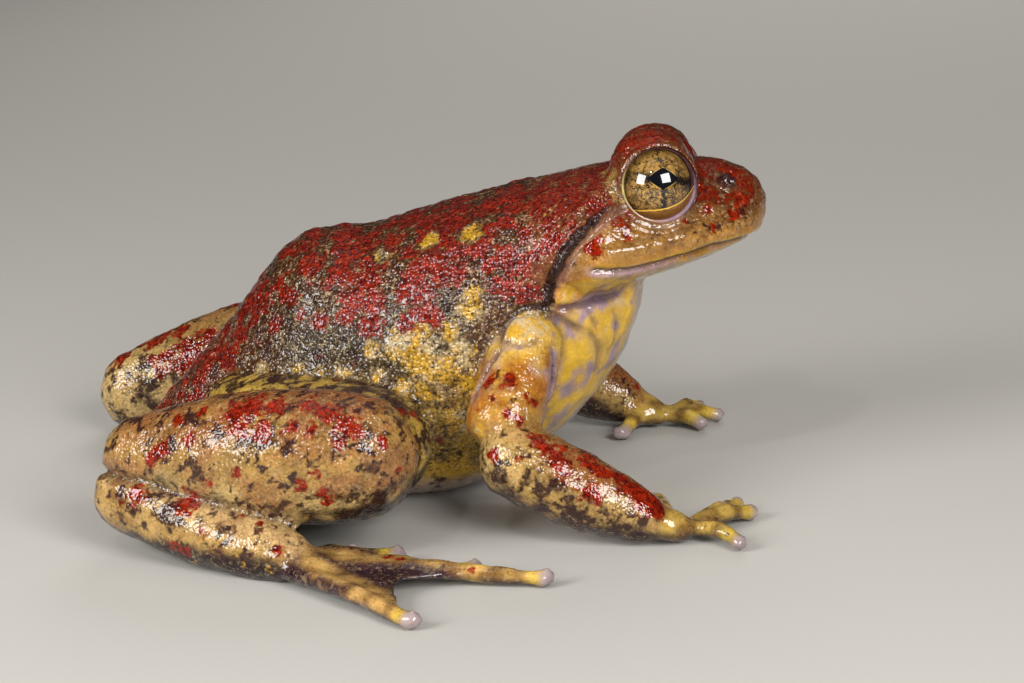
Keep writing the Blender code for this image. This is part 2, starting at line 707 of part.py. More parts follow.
def make_leg(word, torso):
    pose = {key: value if key == "toe_tips" else Vector(value) for key, value in LEGS[word].items()}
    thigh_path = [pose["hip"], pose["thigh_mid"], pose["knee"]]
    thigh = limb("thigh_" + word, thigh_path, THIGH, 14, 18, "limb_skin", (0.8, 1.0))
    shank_path = [pose["shank_start"], pose["shank_mid"], pose["heel"]]
    shank = limb("shank_" + word, shank_path, SHANK, 16, 20, "limb_skin", (1.0, 0.9))
    root = pose["foot_root"]
    tarsus_path = [pose["tarsus_start"], pose["tarsus_mid"], root]
    tarsus = limb("tarsus_" + word, tarsus_path, TARSUS, 13, 14, "limb_skin", (0.9, 0.5))
    ahead = (root - pose["tarsus_mid"]).normalized()
    side = 1 if word == "left" else -1
    aside = Vector((-ahead.y, ahead.x, 0)).normalized() * side
    toes, lines = [], []
    for number, (tip, offset) in enumerate(zip(pose["toe_tips"], TOE_SPREAD), 1):
        tip_place = Vector((*tip, TOE_TIP_HEIGHT))
        base = root - ahead * TOE_ROOT_SHIFT + aside * offset
        base.z = TOE_ROOT_HEIGHT
        bend = mix(base, tip_place, 0.5) + Vector((0, 0, TOE_ARCH))
        lines.append([base, bend, tip_place])
        toes.append(limb(f"toe_{number}", lines[-1], TOE, 11, 7, "digit_skin", (0.5, 0.9)))
    webs = [web(lines[a], lines[b], reach_a, reach_b, dip) for a, b, reach_a, reach_b, dip in WEBS]
    sole_path = [root - ahead * SOLE_BEHIND, root, root + ahead * SOLE_AHEAD]
    sole = limb("foot_" + word, sole_path, SOLE, 9, 14, "digit_skin", (0.4, 0.9))
    foot = boolean(sole, toes + webs, "UNION")
    cut_back(thigh, torso)
    cut_back(shank, thigh, torso)
    cut_back(tarsus, shank, thigh)
    cut_back(foot, tarsus, shank)
    return [thigh, shank, tarsus, foot]


def main():
    clear_scene()
    head, jaw, eyes = make_head()
    bare_head = trunk("bare_head", HEAD, HEAD_RINGS, HEAD_SIDES, "back_skin")
    lean_head([head, jaw, bare_head, *eyes])
    torso = trunk("torso", TORSO, TORSO_RINGS, TORSO_SIDES, "back_skin")
    cut_back(torso, bare_head)
    solids = [torso]
    for word in ("right", "left"):
        solids += make_arm(word, torso, bare_head)
        solids += make_leg(word, torso)
    bpy.data.objects.remove(bare_head, do_unlink=True)
    for solid in solids:
        floor_cut(solid)


main()
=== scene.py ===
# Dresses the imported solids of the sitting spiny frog: one wet skin over all the flesh, two eyes with
# their lid margins, and the light, floor and camera.

import math

import bmesh
import bpy
import numpy as np
from mathutils import Matrix, Vector, noise
from mathutils.bvhtree import BVHTree


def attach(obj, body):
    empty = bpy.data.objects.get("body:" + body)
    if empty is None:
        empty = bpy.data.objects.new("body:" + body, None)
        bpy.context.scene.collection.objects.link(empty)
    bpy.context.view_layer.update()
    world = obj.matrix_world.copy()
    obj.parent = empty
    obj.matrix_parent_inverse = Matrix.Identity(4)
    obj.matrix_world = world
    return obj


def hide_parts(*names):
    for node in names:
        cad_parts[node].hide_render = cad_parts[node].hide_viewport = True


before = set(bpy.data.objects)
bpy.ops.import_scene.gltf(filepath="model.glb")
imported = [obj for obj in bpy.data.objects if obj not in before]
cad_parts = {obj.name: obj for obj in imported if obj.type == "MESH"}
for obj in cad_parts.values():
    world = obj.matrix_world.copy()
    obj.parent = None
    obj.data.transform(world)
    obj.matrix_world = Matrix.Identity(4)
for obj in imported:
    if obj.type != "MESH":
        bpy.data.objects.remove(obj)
noise.seed_set(3)  # else the ragged edges of the patches differ each run
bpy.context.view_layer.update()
mm = 0.001


def linear(code):
    # sRGB hex to linear red, green, blue
    parts = [int(code[i:i + 2], 16) / 255 for i in (0, 2, 4)]
    return [c / 12.92 if c <= 0.04045 else ((c + 0.055) / 1.055) ** 2.4 for c in parts]


def rgba(code):
    return (*linear(code), 1)


# Camera: the photograph's own angle, found from where hands, feet and belly meet the floor

cameraSet = {
    "azimuth": 5, "elevation": 15, "roll": -2.5,  # degrees
    "distance": 0.430, "target": (0.022, 0, 0.022), "lens": 100, "sensor": 36, "clip": (0.01, 20),
}


def makeCamera():
    azimuth, elevation, roll = (math.radians(cameraSet[name]) for name in ("azimuth", "elevation", "roll"))
    back = Vector((
        math.sin(azimuth) * math.cos(elevation),
        -math.cos(azimuth) * math.cos(elevation),
        math.sin(elevation),
    ))
    right = (-back).cross(Vector((0, 0, 1))).normalized()
    up = back.cross(right)
    turn = Matrix((right, up, back)).transposed() @ Matrix.Rotation(roll, 3, "Z")
    camera = bpy.data.objects.new("camera", bpy.data.cameras.new("camera"))
    bpy.context.scene.collection.objects.link(camera)
    place = Vector(cameraSet["target"]) + back * cameraSet["distance"]
    camera.matrix_world = Matrix.Translation(place) @ turn.to_4x4()
    camera.data.lens = cameraSet["lens"]
    camera.data.sensor_width = cameraSet["sensor"]
    camera.data.clip_start, camera.data.clip_end = cameraSet["clip"]
    bpy.context.scene.camera = camera


makeCamera()
print("camera placed")


# Places picked in the photograph, found again on the skin through the same camera

photoSize = (1024, 683)


def underPixels(picks, tree):
    # x, y and radius in pixels become a place on the skin and a radius, in mm
    camera = bpy.context.scene.camera
    depth = photoSize[0] * camera.data.lens / camera.data.sensor_width
    turn, start = camera.matrix_world.to_3x3(), camera.matrix_world.translation
    found = []
    for x, y, *radius in picks:
        ray = turn @ Vector((x - photoSize[0] / 2, photoSize[1] / 2 - y, -depth)).normalized()
        hit, _, _, distance = tree.ray_cast(start, ray)
        if hit:
            found.append((*(hit / mm), *(r * distance / depth / mm for r in radius)))
    return found


def treeOf(mesh):
    work = bmesh.new()
    work.from_mesh(mesh)
    tree = BVHTree.FromBMesh(work)
    work.free()
    return tree


# The head leans about the neck, so its sizes are read in its own upright frame, in millimetres

headSet = {"lean": math.radians(-8), "pivot": (30, 0, 40)}
headPivot = Vector(headSet["pivot"])
headLean = Matrix.Rotation(headSet["lean"], 4, "X")
headTurn = Matrix.Translation(headPivot) @ headLean @ Matrix.Translation(-headPivot)
headBack = headTurn.inverted()


def uprightHead(points):
    turn = np.array(headBack)
    return points @ turn[:3, :3].T + turn[:3, 3]


# Measures along lines and soft falls, in millimetres

def alongPath(points, path):
    # each point's distance to a line through the path's places, and how far along that is, from 0 to 1
    path = np.array(path, float)
    best, share = np.full(len(points), 1e9), np.zeros(len(points))
    lengths = np.linalg.norm(np.diff(path, axis=0), axis=1)
    total, gone = lengths.sum(), 0.0
    for a, b, length in zip(path, path[1:], lengths):
        t = np.clip(((points - a) @ (b - a)) / length**2, 0, 1)
        away = np.linalg.norm(points - a - t[:, None] * (b - a), axis=1)
        nearer = away < best
        best = np.where(nearer, away, best)
        share = np.where(nearer, (gone + t * length) / total, share)
        gone += length
    return best, share


def hump(distance, width):
    return np.exp(-((distance / width) ** 2))


def ramp(value, low, high):
    t = np.clip((value - low) / (high - low), 0, 1)
    return t * t * (3 - 2 * t)


def mirrorPath(path):
    return [(x, -y, z) for x, y, z in path]


def nearSide(points):
    # the far half of the body folded onto the near one, for what both sides have
    return np.stack([points[:, 0], -np.abs(points[:, 1]), points[:, 2]], 1)


# Creases round the shoulder's lobe, down the arm, over the throat, and under and behind the jaw: depth and
# width in mm, then the places along each, picked in the photograph's pixels
skinCreases = [
    (0.62, 0.42, [
        (501, 346), (501, 337), (504, 326), (509, 319), (515, 313), (525, 307), (538, 307), (549, 308),
        (553, 313), (559, 317), (573, 326), (588, 332),
    ]),
    (0.35, 0.50, [(588, 332), (593, 336), (598, 346), (599, 355), (595, 374)]),
    (0.34, 0.42, [(502, 343), (507, 340), (514, 344), (521, 346), (529, 345), (542, 339)]),
    (0.50, 0.42, [(501, 346), (494, 359), (487, 370), (481, 381), (476, 391), (474, 402)]),
    (0.60, 0.42, [(551, 348), (554, 355), (555, 362), (553, 370), (551, 387), (548, 404), (546, 413)]),
    (0.30, 0.35, [(586, 304), (589, 310), (593, 319), (597, 326), (599, 334)]),
    (0.30, 0.35, [(612, 308), (616, 315), (617, 323), (616, 334), (614, 343), (610, 352)]),
    (0.85, 0.50, [(553, 306), (562, 308), (573, 306), (584, 305), (597, 300), (611, 298), (624, 293)]),
    (0.70, 0.45, [(552, 281), (551, 288), (550, 295), (551, 304), (553, 313)]),
]
# The thick lip at the corner of the mouth, in mm
lipPath = [
    (35.0, -18.0, 37.0), (36.0, -17.6, 36.2), (37.3, -17.1, 36.1), (38.6, -16.7, 36.3), (40.4, -16.1, 36.5),
    (42.1, -15.4, 36.8),
]
# Soft swellings under the jaw and on the shoulder: place, radius, height
swellings = [
    ((31.2, -15.8, 32.7), 1.8, 1.05), ((27.0, -19.6, 29.6), 2.6, 0.5), ((34.2, -14.6, 33.2), 1.5, 0.45),
    ((37.4, -12.6, 33.6), 1.5, 0.35),
]


# Skin: every fleshy solid merged into one closed surface

skinSet = {
    "grow": 0.27,  # mm; closes the gaps between the solids before they merge
    "voxel": 0.715,  # mm
    "settle": 0.9,  # this share of the growth is taken back after the merging
    "smoothing": 9,
    "headSmoothing": 3,
    "fineEdge": 0.62,  # an edge shorter than this share of a voxel is one of the finer ones
    "headFrom": (28.5, 27.0),  # mm; finer faces in front of this x and above this z
    "creaseReach": 1.7,  # mm; and within this distance of a crease
}

# Round pads on the undersides of the toes: x, y, z, radius in mm
toePads = [(-1.0, -46.6, 1.3, 1.5), (7.0, -57.6, 1.3, 1.4), (-9.5, 47.5, 1.2, 1.4), (-4.0, 57.0, 1.2, 1.3)]

# Swollen tips of the fingers and toes, in mm
digitTips = [
    (43.9, -14.2, 1.1), (56.2, -16.4, 0.9), (58.2, -20.2, 0.9), (56.6, -34.6, 0.9),
    (37.2, 18.8, 0.9), (50.5, 23.4, 0.9), (53.2, 29.0, 0.9), (50.0, 34.0, 0.9),
    (1.5, -37.0, 1.2), (8.5, -38.2, 1.2), (20.0, -44.4, 1.2), (30.4, -48.2, 1.2), (13.2, -64.4, 1.2),
    (-9.0, 38.5, 1.2), (-1.0, 41.0, 1.2), (9.0, 45.5, 1.2), (17.5, 53.5, 1.2), (-1.0, 64.0, 1.2),
]
# Radius of a tip, how far it lies inward towards a place in each hand or foot, and how deep in the floor
tipSize = {
    "hand": 1.45, "foot": 1.55, "inward": 0.9, "sink": 0.1, "handFrom": 31, "handMiddle": 30, "middleY": 30,
}

fleshNodes = [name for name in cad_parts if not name.startswith("eye")]


def gatherFlesh():
    # copies of the solids, each grown a little, with the round pads of the toes
    flesh = bmesh.new()
    for name in fleshNodes:
        work = bmesh.new()
        work.from_mesh(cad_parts[name].data)
        bmesh.ops.remove_doubles(work, verts=work.verts, dist=1e-6)
        bmesh.ops.recalc_face_normals(work, faces=work.faces)
        work.normal_update()
        moves = [vert.normal * skinSet["grow"] * mm for vert in work.verts]
        for vert, move in zip(work.verts, moves):
            vert.co += move
        grown = bpy.data.meshes.new("grown")
        work.to_mesh(grown)
        work.free()
        flesh.from_mesh(grown)
        bpy.data.meshes.remove(grown)
    tips = []
    for x, y, z in digitTips:
        onHand = x > tipSize["handFrom"]
        radius = tipSize["hand" if onHand else "foot"]
        middle = Vector((tipSize["handMiddle"] * onHand, math.copysign(tipSize["middleY"], y), 0))
        inward = (middle - Vector((x, y, 0))).normalized() * tipSize["inward"]
        tips.append((x + inward.x, y + inward.y, radius - tipSize["sink"], radius))
    for x, y, z, radius in toePads + tips:
        place = Matrix.Translation(Vector((x, y, z)) * mm)
        bmesh.ops.create_uvsphere(flesh, u_segments=12, v_segments=8, radius=radius * mm, matrix=place)
    return flesh


def largestShell(work):
    # keeps the outer surface and drops the small ones that close inside it
    left, best = set(work.verts), []
    while left:
        shell, edge = [], [left.pop()]
        while edge:
            vert = edge.pop()
            shell.append(vert)
            for link in vert.link_edges:
                other = link.other_vert(vert)
                if other in left:
                    left.discard(other)
                    edge.append(other)
        best = max(best, shell, key=len)
    keep = set(best)
    bmesh.ops.delete(work, geom=[vert for vert in work.verts if vert not in keep], context="VERTS")


def readMesh(mesh):
    count = len(mesh.vertices)
    places, normals = np.zeros(count * 3), np.zeros(count * 3)
    mesh.vertices.foreach_get("co", places)
    mesh.vertex_normals.foreach_get("vector", normals)
    edges = np.zeros(len(mesh.edges) * 2, int)
    mesh.edges.foreach_get("vertices", edges)
    return places.reshape(-1, 3) / mm, normals.reshape(-1, 3), edges.reshape(-1, 2)


def writePlaces(mesh, places):
    mesh.vertices.foreach_set("co", (places * mm).ravel())
    mesh.update()


def relax(places, edges, rounds, weights=1.0, shrink=0.55, swell=-0.57):
    # smooths without losing volume: one step in, one step out
    count = len(places)
    ends = np.concatenate([edges[:, 0], edges[:, 1]])
    others = np.concatenate([edges[:, 1], edges[:, 0]])
    degree = np.maximum(np.bincount(ends, minlength=count), 1)[:, None]
    weights = np.broadcast_to(np.asarray(weights, float).reshape(-1, 1), (count, 1))
    for _ in range(rounds):
        for step in (shrink, swell):
            mean = np.stack([np.bincount(ends, places[others, k], count) for k in range(3)], 1) / degree
            places = places + (mean - places) * step * weights
    return places


def makeSkin():
    flesh = gatherFlesh()
    mesh = bpy.data.meshes.new("skin")
    flesh.to_mesh(mesh)
    flesh.free()
    skin = bpy.data.objects.new("skin", mesh)
    bpy.context.scene.collection.objects.link(skin)
    remesh = skin.modifiers.new("remesh", "REMESH")
    remesh.mode = "VOXEL"
    remesh.voxel_size = skinSet["voxel"] * mm
    bpy.context.view_layer.update()
    seen = skin.evaluated_get(bpy.context.evaluated_depsgraph_get())
    merged = bpy.data.meshes.new_from_object(seen)
    skin.modifiers.clear()
    skin.data = merged
    bpy.data.meshes.remove(mesh)
    work = bmesh.new()
    work.from_mesh(merged)
    largestShell(work)
    work.to_mesh(merged)
    places, normals, edges = readMesh(merged)
    places = places - normals * skinSet["grow"] * skinSet["settle"]
    writePlaces(merged, relax(places, edges, skinSet["smoothing"]))
    tree = treeOf(merged)
    creases = [(depth, width, underPixels(path, tree)) for depth, width, path in skinCreases]
    work.clear()
    work.from_mesh(merged)
    fromX, fromZ = skinSet["headFrom"]
    middles = np.array([face.calc_center_median() for face in work.faces]) / mm
    creaseAway = np.minimum.reduce([alongPath(nearSide(middles), path)[0] for _, _, path in creases])
    chosen = ((middles[:, 0] > fromX) & (middles[:, 2] > fromZ)) | (creaseAway < skinSet["creaseReach"])
    fine = {edge for face, take in zip(work.faces, chosen) if take for edge in face.edges}
    bmesh.ops.subdivide_edges(work, edges=list(fine), cuts=1, use_grid_fill=True)
    work.to_mesh(merged)
    work.free()
    places, normals, edges = readMesh(merged)
    lengths = np.linalg.norm(places[edges[:, 0]] - places[edges[:, 1]], axis=1)
    isFine = np.zeros(len(places))
    isFine[edges[lengths < skinSet["voxel"] * skinSet["fineEdge"]].ravel()] = 1.0
    writePlaces(merged, relax(places, edges, skinSet["headSmoothing"], isFine))
    return skin, creases


skin, creasePaths = makeSkin()
print("skin merged:", len(skin.data.polygons), "faces")


# Sculpting: creases, lips, nostrils, folds and warts, pressed into the skin, in mm. A pair is where a soft
# fall begins and ends; a ridge is its distance from a line, its width and its rise

sculptSet = {
    "neckGap": 3.5, "neckReach": 5.0, "neckAbove": (31, 36), "neckBehind": (31.5, 33), "neckRounds": 60,
    "neckSink": -0.1,
    "foldReach": 1.3, "foldFull": 0.6,
    "mouthRidges": [(0.0, 0.30, -0.55), (-0.8, 0.48, 0.156), (1.0, 0.6, 0.156)],
    "mouthCorner": (34.8, 36.3), "faceAbove": 28, "faceBefore": 30,
    "cheekRidge": (2.9, 1.0, 0.32), "cheekFrom": (36, 40), "cheekTo": (51, 55),
    "earRidge": (0.58, 0.85), "earGroove": 0.65, "earFront": (1.2, 0, -0.7), "earBack": (-1.0, 0, 0.5),
    "nostrilRidges": [(0.0, 1.0, 1.1), (1.75, 0.4, -0.32)],
    "nostrilHole": (0.38, -1.2), "nostrilShift": (0.35, 0.1, -0.25), "lipRidge": (0.6, 0.05),
    "lidRidges": [(6.25, 0.28, -0.22), (7.1, 0.3, -0.16), (5.95, 0.30, 0.26)],
    "wartSize": 1.9, "wartRise": 0.26, "lumpSize": 4.5, "lumpRise": 0.35,
    "jawSink": 0.9, "eyeClearance": 0.05, "snapReach": 1.6,
}

# Line of the mouth in the upright head: x, z
mouthLine = [
    (35.7, 34.74), (38.1, 34.54), (40.5, 34.48), (43, 34.84), (45.6, 35.29), (48.2, 35.95), (50.8, 36.55),
    (52.6, 37.1), (54.5, 37.25), (56.3, 37.55), (58, 37.8), (60.6, 38.1),
]
nostrilPlace = (54.9, 5.35, 46.0)
# Fold over the eardrum, from the eye down, picked in the photograph's pixels
earFold = [
    (616, 206), (606, 211), (597, 217), (588, 226), (579, 235), (570, 245), (563, 254), (557, 267),
    (552, 279), (549, 290), (547, 300),
]
# Soft swellings of the upright head: place, radius, height
headSwellings = [
    ((52.0, 2.5, 48.6), 3.6, 0.5), ((50.6, 8.5, 51.0), 2.0, -0.55), ((39.6, 8.0, 53.0), 3.2, 0.45),
]

# Where two parts of the body lie against each other the skin folds in: parts, depth, width
bodyFolds = [
    ("shank", "tarsus", 1.5, 0.6), ("shank", "thigh", 0.7, 0.5), ("thigh", "torso", 0.5, 0.5),
    ("arm", "torso", 0.45, 0.45), ("shank", "torso", 0.8, 0.6), ("tarsus", "thigh", 0.6, 0.5),
    ("arm", "fore", 0.12, 0.8),
]

bodyParts = {
    "torso": ["torso"], "head": ["head"], "jaw": ["lower_jaw"], "arm": ["upper_arm"], "fore": ["forearm"],
    "digit": ["hand", "finger"], "thigh": ["thigh"], "shank": ["shank"], "tarsus": ["tarsus"],
    "foot": ["foot"],
}
limbRoughness = {"shank": 0.5, "thigh": 0.5, "arm": 0.3, "fore": 0.4, "tarsus": 0.3}


def partDistances(points):
    # how far every point lies from each part of the body, in mm
    far = {}
    for part, starts in bodyParts.items():
        work = bmesh.new()
        for name in fleshNodes:
            if name.startswith(tuple(starts)):
                work.from_mesh(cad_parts[name].data)
        tree = BVHTree.FromBMesh(work)
        work.free()
        found = (tree.find_nearest(Vector(p) * mm) for p in points)
        far[part] = np.array([hit[3] for hit in found]) / mm
    return far


def cloud(points, size, detail=3, offset=0.0):
    # fractal noise from 0 to 1 over the points, with lumps of about this size in mm
    values = [noise.fractal(Vector(p) / size + Vector((offset, 7.1, 3.3)), 0.7, 2.1, detail) for p in points]
    return np.clip(np.array(values) * 0.6 + 0.5, 0, 1)


def domes(points, size, offset=0.0):
    # round warts of about this size in mm: 1 on top of each, 0 between them
    shift = Vector((offset, 1.7, 4.4))
    away = np.array([noise.voronoi(Vector(p) / size + shift)[0][0] for p in points])
    return np.clip(1 - (away / 0.62) ** 2, 0, 1)


def ridges(away, listed):
    return sum(rise * hump(away - at, width) for at, width, rise in listed)


def distance(points, place):
    return np.linalg.norm(points - np.array(place), axis=1)


eyeSet = {
    "centre": (44.9, 8.9, 46.2),  # in the upright head, mm
    "radius": 5.7,
    "gaze": (0.13, 0.98, 0.03),
    "opening": 5.52,
    "rimRadius": 5.32,
    "rimThick": 0.27,
    "rimThickWay": (0.75, 0, -0.66),
    "rimSwell": 0.95,
}
eyes = []
for side, word in ((-1, "right"), (1, "left")):
    centre, gaze = (Vector((ex, ey * side, ez)) for ex, ey, ez in (eyeSet["centre"], eyeSet["gaze"]))
    eyes.append({"word": word, "centre": headTurn @ centre, "gaze": (headTurn.to_3x3() @ gaze).normalized()})


def ontoSkin(path, tree):
    # moves each place of a line to the skin, where it lies close enough
    found = [tree.find_nearest(Vector(place) * mm) for place in path]
    reach = sculptSet["snapReach"] * mm
    return [tuple(hit[0] / mm) if hit[3] < reach else place for place, hit in zip(path, found)]


def sculptFace(sided, marks):
    # mouth and lips in height above the line at each x, the lower jaw's set-back, and the nostrils
    above = sided[:, 2] - np.interp(sided[:, 0], *np.array(mouthLine).T)
    onFace = (sided[:, 2] > sculptSet["faceAbove"]) & (sided[:, 0] > sculptSet["faceBefore"])
    front = ramp(sided[:, 0], *sculptSet["mouthCorner"]) * onFace
    moved = ridges(above, sculptSet["mouthRidges"]) * front
    cheek = ramp(sided[:, 0], *sculptSet["cheekFrom"]) * (1 - ramp(sided[:, 0], *sculptSet["cheekTo"]))
    moved += ridges(above, [sculptSet["cheekRidge"]]) * cheek * onFace
    # the mouth's seam, which the paint darkens as painted shade
    marks["mouthLine"] = hump(above, 0.30) * front
    marks["aboveMouth"] = above
    back = sculptSet["jawSink"] * ramp(sided[:, 0], 50, 59) * ramp(-above, 0.0, 1.0) * (above > -9) * onFace
    knob = distance(sided, nostrilPlace)
    hole = distance(sided, Vector(nostrilPlace) + Vector(sculptSet["nostrilShift"]))
    width, rise = sculptSet["nostrilHole"]
    moved += ridges(knob, sculptSet["nostrilRidges"]) + rise * hump(hole, width)
    # the nostril's pit, which the paint darkens as painted shade
    marks["nostril"] = hump(hole, 0.5)
    marks["nostrilKnob"] = ramp(-knob, -1.55, -1.0)
    for middle, reach, height in headSwellings:
        moved += height * hump(distance(sided, middle), reach)
    return moved, back


def sculptEarFold(sided, tree, marks):
    # the fold over the eardrum, with a groove in front of it and a fainter one behind
    fold = [headBack @ Vector(place) for place in underPixels(earFold, tree)]
    fold = [(place.x, abs(place.y), place.z) for place in fold]
    away, share = alongPath(sided, fold)
    beside = [alongPath(sided, np.array(fold) + sculptSet[way])[0] for way in ("earFront", "earBack")]
    marks["foldPath"] = fold
    marks["earAway"] = away + 0.9 * (1 - ramp(share, 0.0, 0.22)) - 0.2 * share
    marks["foldEdge"] = hump(beside[0] - 0.2, 0.55)
    width, rise = sculptSet["earRidge"]
    return rise * hump(away, width) - sculptSet["earGroove"] * np.maximum(
        hump(beside[0], 0.35), hump(beside[1], 0.4) * 0.6)


def sculptCreases(places, tree, marks):
    # creases with a lilac halo beside each, the thick lip at the corner of the mouth, and soft swellings
    creases, halo, pressed = (np.zeros(len(places)) for _ in range(3))
    for depth, width, path in creasePaths:
        for each in (path, mirrorPath(path)):
            away, share = alongPath(places, ontoSkin(each, tree))
            ends = 0.3 + 0.7 * ramp(share, 0, 0.1) * ramp(1 - share, 0, 0.1)
            pressed = np.maximum(pressed, depth * hump(away, width) * ends)
            # the crease's dark line, stronger where the crease is deeper: partly painted shade
            creases = np.maximum(creases, hump(away, width * 0.95) * ends * min(1, depth * 1.7))
            halo = np.maximum(halo, hump(away, width * 2.6) * ends * depth)
    marks["crease"], marks["creaseHalo"] = creases, halo
    width, rise = sculptSet["lipRidge"]
    lips = [hump(alongPath(places, path)[0], width) for path in (lipPath, mirrorPath(lipPath))]
    marks["lip"] = np.maximum(*lips)
    moved = rise * marks["lip"] - pressed
    for middle, reach, height in swellings:
        moved += height * hump(distance(nearSide(places), middle), reach)
    return moved


def sculptLids(places, marks):
    # the wrinkled skin just outside the lids; the last ridge is the lid's own, and ends below
    moved, marks["lidBand"] = np.zeros(len(places)), np.zeros(len(places))
    for eye in eyes:
        out = places - np.array(eye["centre"])
        deep = out @ np.array(eye["gaze"])
        beside = np.sqrt(np.maximum((out**2).sum(1) - deep**2, 0))
        here = ramp(deep, 0.5, 1.5) * (deep < 7)
        shares = (1, out[:, 2] < 2, ramp(out[:, 2], -1.0, 2.5))
        for ridge, share in zip(sculptSet["lidRidges"], shares):
            moved += ridges(beside, [ridge]) * share * here
        marks["lidBand"] = np.maximum(marks["lidBand"], hump(beside - 6.0, 0.60) * here)
    return moved


def fitLids(places):
    # opens the lids to their size, and fits the socket round the eyeball
    for eye in eyes:
        centre, gaze = np.array(eye["centre"]), np.array(eye["gaze"])
        out = places - centre
        deep = out @ gaze
        flat = out - deep[:, None] * gaze
        beside = np.linalg.norm(flat, axis=1)
        tight = (deep > 1.2) & (deep < 6.5) & (beside < eyeSet["opening"]) & (beside > 3)
        places[tight] += flat[tight] * (eyeSet["opening"] / beside[tight] - 1)[:, None]
        out = places - centre
        reach = np.linalg.norm(out, axis=1)
        least = eyeSet["radius"] + sculptSet["eyeClearance"]
        inside = reach < least
        places[inside] = centre + out[inside] / reach[inside, None] * least


def sculpt(skin):
    places, normals, edges = readMesh(skin.data)
    far = partDistances(places)
    # the neck runs into the back without a step
    neck = hump(far["head"] - far["torso"], sculptSet["neckGap"])
    neck *= hump(np.maximum(far["head"], far["torso"]), sculptSet["neckReach"])
    neck *= ramp(places[:, 2], *sculptSet["neckAbove"]) * (1 - ramp(places[:, 0], *sculptSet["neckBehind"]))
    smooth = relax(places, edges, sculptSet["neckRounds"], neck, swell=sculptSet["neckSink"])
    writePlaces(skin.data, smooth)
    places, normals, edges = readMesh(skin.data)
    upright = uprightHead(places)
    sided = np.stack([upright[:, 0], np.abs(upright[:, 1]), upright[:, 2]], 1)
    tree = treeOf(skin.data)
    marks = {}

    # folds where limbs lie against the body and against each other
    moved, folds = np.zeros(len(places)), np.zeros(len(places))
    for one, other, depth, width in bodyFolds:
        here = hump(far[one] - far[other], width)
        here *= hump(np.maximum(far[one], far[other]), sculptSet["foldReach"])
        moved -= depth * here
        folds = np.maximum(folds, here * depth / sculptSet["foldFull"])
    # how deep each fold is; the paint darkens the folds with it, as painted shade
    marks["fold"] = np.clip(folds, 0, 1)
    faceMoved, jawBack = sculptFace(sided, marks)
    moved += faceMoved + sculptEarFold(sided, tree, marks)
    moved += sculptCreases(places, tree, marks) + sculptLids(places, marks)

    # warts over the back and flanks, low ones on limbs and cheeks
    above = marks["aboveMouth"]
    lidGap = np.minimum.reduce([distance(places, eye["centre"]) for eye in eyes]) - eyeSet["radius"]
    back = ramp(places[:, 2], 6, 16) * (1 - ramp(places[:, 0] - places[:, 2] * 0.3, 17, 20))
    rough = hump(far["torso"], 1.0) * back + hump(far["head"], 0.8) * (0.12 + 0.3 * ramp(above, 6, 10))
    rough += sum(hump(far[part], 0.8) * share for part, share in limbRoughness.items())
    rough = np.clip(rough, 0, 1) * ramp(lidGap, 0.6, 2.0) * ramp(np.abs(above), 0.6, 2.5)
    moved += sculptSet["wartRise"] * domes(places, sculptSet["wartSize"]) * rough
    lumps = cloud(places, sculptSet["lumpSize"], offset=31.0) - 0.5
    moved += sculptSet["lumpRise"] * lumps * ramp(lidGap, 0.6, 2.0)

    places = places + normals * moved[:, None]
    places[:, 0] -= jawBack  # the lower jaw ends a little behind the upper lip
    fitLids(places)
    places[:, 2] = np.maximum(places[:, 2], 0.0)
    writePlaces(skin.data, places)
    return marks, far


sculptMarks, partFar = sculpt(skin)
print("skin sculpted")
